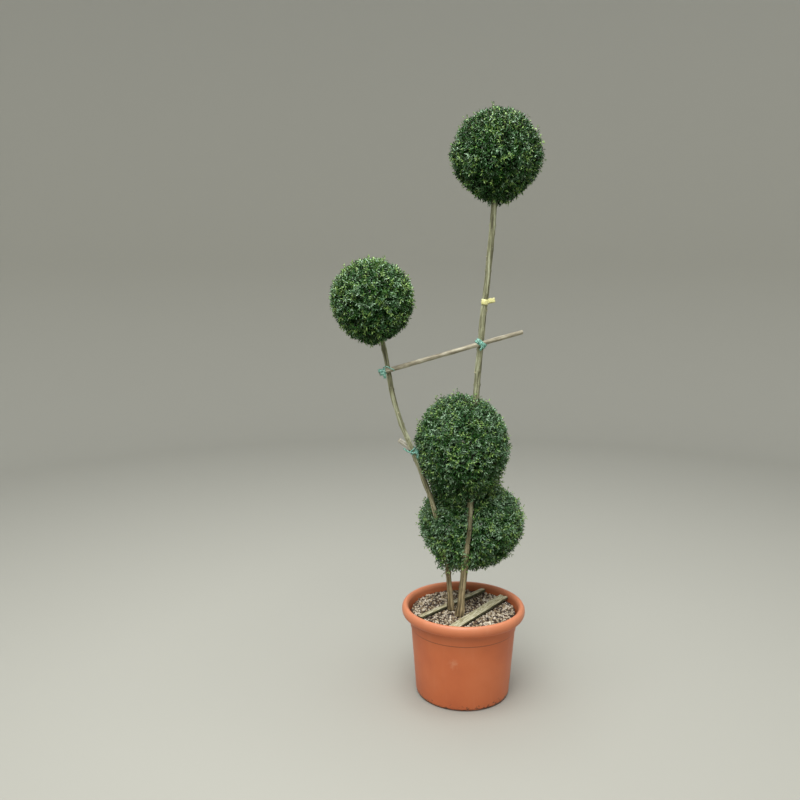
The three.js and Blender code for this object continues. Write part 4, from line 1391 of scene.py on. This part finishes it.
def inner_leaves(name, limbs):
    """One shape of the leaves along the side twigs of a ball."""
    ball = POMPOMS[name]
    dice = np.random.default_rng(300 + ball["seed"])
    twigs = np.repeat(limbs["side_twigs"], INNER_LEAVES, axis=0)
    count, steps = twigs.shape[:2]
    spot = dice.uniform(0.8, steps - 1, count)
    low = np.minimum(spot.astype(int), steps - 2)
    before, after = twigs[np.arange(count), low], twigs[np.arange(count), low + 1]
    roots = before + (spot - low)[:, None] * (after - before)
    along = unit(dice.normal(size=(count, 3)) + 0.7 * unit(twigs[:, -1] - twigs[:, 0]))
    upper = Z_AXIS + dice.normal(0, 0.5, (count, 3))
    length = INNER_LENGTH * dice.uniform(0.7, 1.1, (count, 1))
    tips = roots + along * length
    kept = in_own_space(ball, tips, INNER_REACH, INNER_OVERLAP)
    kept &= clear_of_limbs(tips, 2 * mm) & ~in_groove(tips)
    return leaf_mesh(roots[kept], along[kept], upper[kept], length[kept], INNER_WIDTH * length[kept])


# %% [markdown]
# ### Leaf colours
# Privet leaves are leathery and glossy. Old ones are deep green, some are bluish green, and the newest are
# yellow-green. A pale grey-green tone is a painted sheen: sky light on glossy upper sides, put into the
# base colour. The colours are dealt out shoot by shoot, now and then the same for a whole tuft. The painted
# sheen is the glossiest, and old leaves inside are nearly dull. The leaves at a shoot's tip are younger
# than those below them, and the shoots that stand out of the surface are the youngest.

# %% Leaf finishes: a tone and a gloss for each kind of leaf, one of them a painted sheen
# The pale grey-green tone #89ac84 is a painted sheen: sky light on glossy upper sides, put into the base
# colour.
LEAF_TONES = {
    "old": ("#17330f", 0.2), "grown": ("#2c5620", 0.35), "blue": ("#456f42", 0.6),
    "painted_sheen": ("#89ac84", 0.9), "young": ("#4f7c38", 0.6), "fresh": ("#84a656", 0.6),
}
BLISTER = 4 * mm
LEAF_FINISHES = {}
for tone_key, (tone, gloss) in LEAF_TONES.items():
    finish, add, shader = new_finish("privet leaf, " + tone_key, {
        "Base Color": linear(tone), "Roughness": 0.32, "IOR": 1.46, "Specular IOR Level": gloss,
    })
    blister = add(
        "TexNoise", {"Scale": 1 / BLISTER, "Detail": 1.0}, {"Vector": add("TexCoord").outputs["Object"]},
    )
    link(shader, {"Normal": add("Bump", {"Strength": 0.35, "Distance": 0.8 * mm}, {"Height": blister})})
    LEAF_FINISHES[tone_key] = finish

# %% Shares of each tone at the foot of a ball and at its top: more painted sheen and young growth on top, and more dark old leaves at the foot as painted shade
TONE_SHARES = {
    "pompom_top": ((0.42, 0.30, 0.16, 0.07, 0.04, 0.01), (0.25, 0.24, 0.23, 0.18, 0.08, 0.02)),
    "pompom_left": ((0.34, 0.32, 0.16, 0.09, 0.07, 0.02), (0.10, 0.20, 0.18, 0.21, 0.22, 0.09)),
    "pompom_middle": ((0.30, 0.30, 0.21, 0.12, 0.06, 0.01), (0.09, 0.18, 0.28, 0.33, 0.09, 0.03)),
    "pompom_bottom": ((0.16, 0.22, 0.21, 0.25, 0.12, 0.04), (0.06, 0.15, 0.24, 0.38, 0.12, 0.05)),
}
SAME_IN_TUFT = 0.2
YOUNGER_AT_TIP = 0.1
STRAY_AGE = 0.86

leaf_total = 0
for name, limbs in grown.items():
    seed = POMPOMS[name]["seed"]
    roots, along, upper, length, number, share = grow_leaves(name, limbs)
    height = (limbs["outward"][number, 2:3] + 1) / 2
    foot, top = (np.array(shares) for shares in TONE_SHARES[name])
    # Tones shift with height, so a ball is paler on top with painted sheen and darker at its foot with
    # painted shade.
    limits = np.cumsum(foot + height * (top - foot), axis=1)[:, :-1]
    of_tuft = chance(seed, limbs["tuft"], 8)
    of_shoot = chance(seed, np.arange(len(of_tuft)), 8)
    together = chance(seed, np.arange(len(of_tuft)), 10) < SAME_IN_TUFT
    draw = np.where(together, of_tuft, of_shoot)
    draw = np.where(limbs["stray"], STRAY_AGE + (1 - STRAY_AGE) * draw, draw)
    draw = draw[number] + YOUNGER_AT_TIP * share**2
    tone_numbers = (draw[:, None] > limits).sum(axis=1)
    for tone_number, tone_key in enumerate(LEAF_TONES):
        chosen = tone_numbers == tone_number
        shape = leaf_mesh(
            roots[chosen], along[chosen], upper[chosen], length[chosen], length[chosen] * LEAF_WIDTH,
        )
        if tone_key == "old":
            shape = join([shape, inner_leaves(name, limbs)])
        add_piece(f"{name}_leaves_{tone_key}", shape, LEAF_FINISHES[tone_key], replaces=[name])
    leaf_total += len(roots)
    print(name, len(roots), "leaves, by age:", np.bincount(tone_numbers))
print("leaves in all:", leaf_total, "with", len(LEAF_FACES) * leaf_total, "triangles")

# %% [markdown]
# ## Studio
# The photograph was taken under a white roof that glows evenly, so the light here is soft and comes
# from above. A pale floor that curves up into a round wall shows no horizon from any side, and a
# pale sky lights it all. A broad lamp overhead gives the shade under the rim and the balls, and a
# second one in front of it lifts the sides that face the camera.

# %% Floor and wall in one turned surface
FLOOR_RADIUS = 4.6
COVE_RADIUS = 1.6
WALL_HEIGHT = 5.4
STUDIO_SIDES = 128
cove = arc((FLOOR_RADIUS, COVE_RADIUS), (COVE_RADIUS, COVE_RADIUS), -90, 0, 24)
studio_profile = np.concatenate([
    [(0, 0), (1, 0), (FLOOR_RADIUS - 1, 0)], cove, [(FLOOR_RADIUS + COVE_RADIUS, WALL_HEIGHT)],
])
studio_radius, studio_height = studio_profile.T
studio_rings = laid_straight(
    studio_radius[:, None] * np.ones(STUDIO_SIDES), angles_round(STUDIO_SIDES), studio_height,
)
studio_points, studio_faces = skin(studio_rings, closed=False)

paint = new_finish("pale studio paint", {"Base Color": linear("#a9a89e"), "Roughness": 0.9})[0]
studio_mesh = bpy.data.meshes.new("studio")
studio_mesh.from_pydata(studio_points.tolist(), [], studio_faces[:, ::-1].tolist())
studio_mesh.shade_smooth()
studio_mesh.materials.append(paint)
studio = bpy.data.objects.new("studio", studio_mesh)
bpy.context.scene.collection.objects.link(studio)

# %% Sky and lamps
SKY = "#f4f7fb"
SKY_STRENGTH = 0.9
LAMPS = {
    "overhead": {"watts": 165, "size": 3.2, "place": (-0.3, -0.5, 4.4)},
    "front": {"watts": 100, "size": 2.6, "place": (-1.0, -3.1, 4.4)},
}
LIT_POINT = np.array([0, 0, 0.8])

world = bpy.data.worlds.new("sky")
world.use_nodes = True
world.node_tree.nodes["Background"].inputs["Color"].default_value = linear(SKY)
world.node_tree.nodes["Background"].inputs["Strength"].default_value = SKY_STRENGTH
bpy.context.scene.world = world
for name, values in LAMPS.items():
    lamp = bpy.data.objects.new(name, bpy.data.lights.new(name, "AREA"))
    lamp.data.energy = values["watts"]
    lamp.data.size = values["size"]
    lamp.location = values["place"]
    aim = mathutils.Vector(LIT_POINT - values["place"])
    lamp.rotation_euler = aim.to_track_quat("-Z", "Y").to_euler()
    bpy.context.scene.collection.objects.link(lamp)
bpy.context.scene.view_settings.view_transform = "Standard"
print("sky", SKY_STRENGTH, "lamps", list(LAMPS))
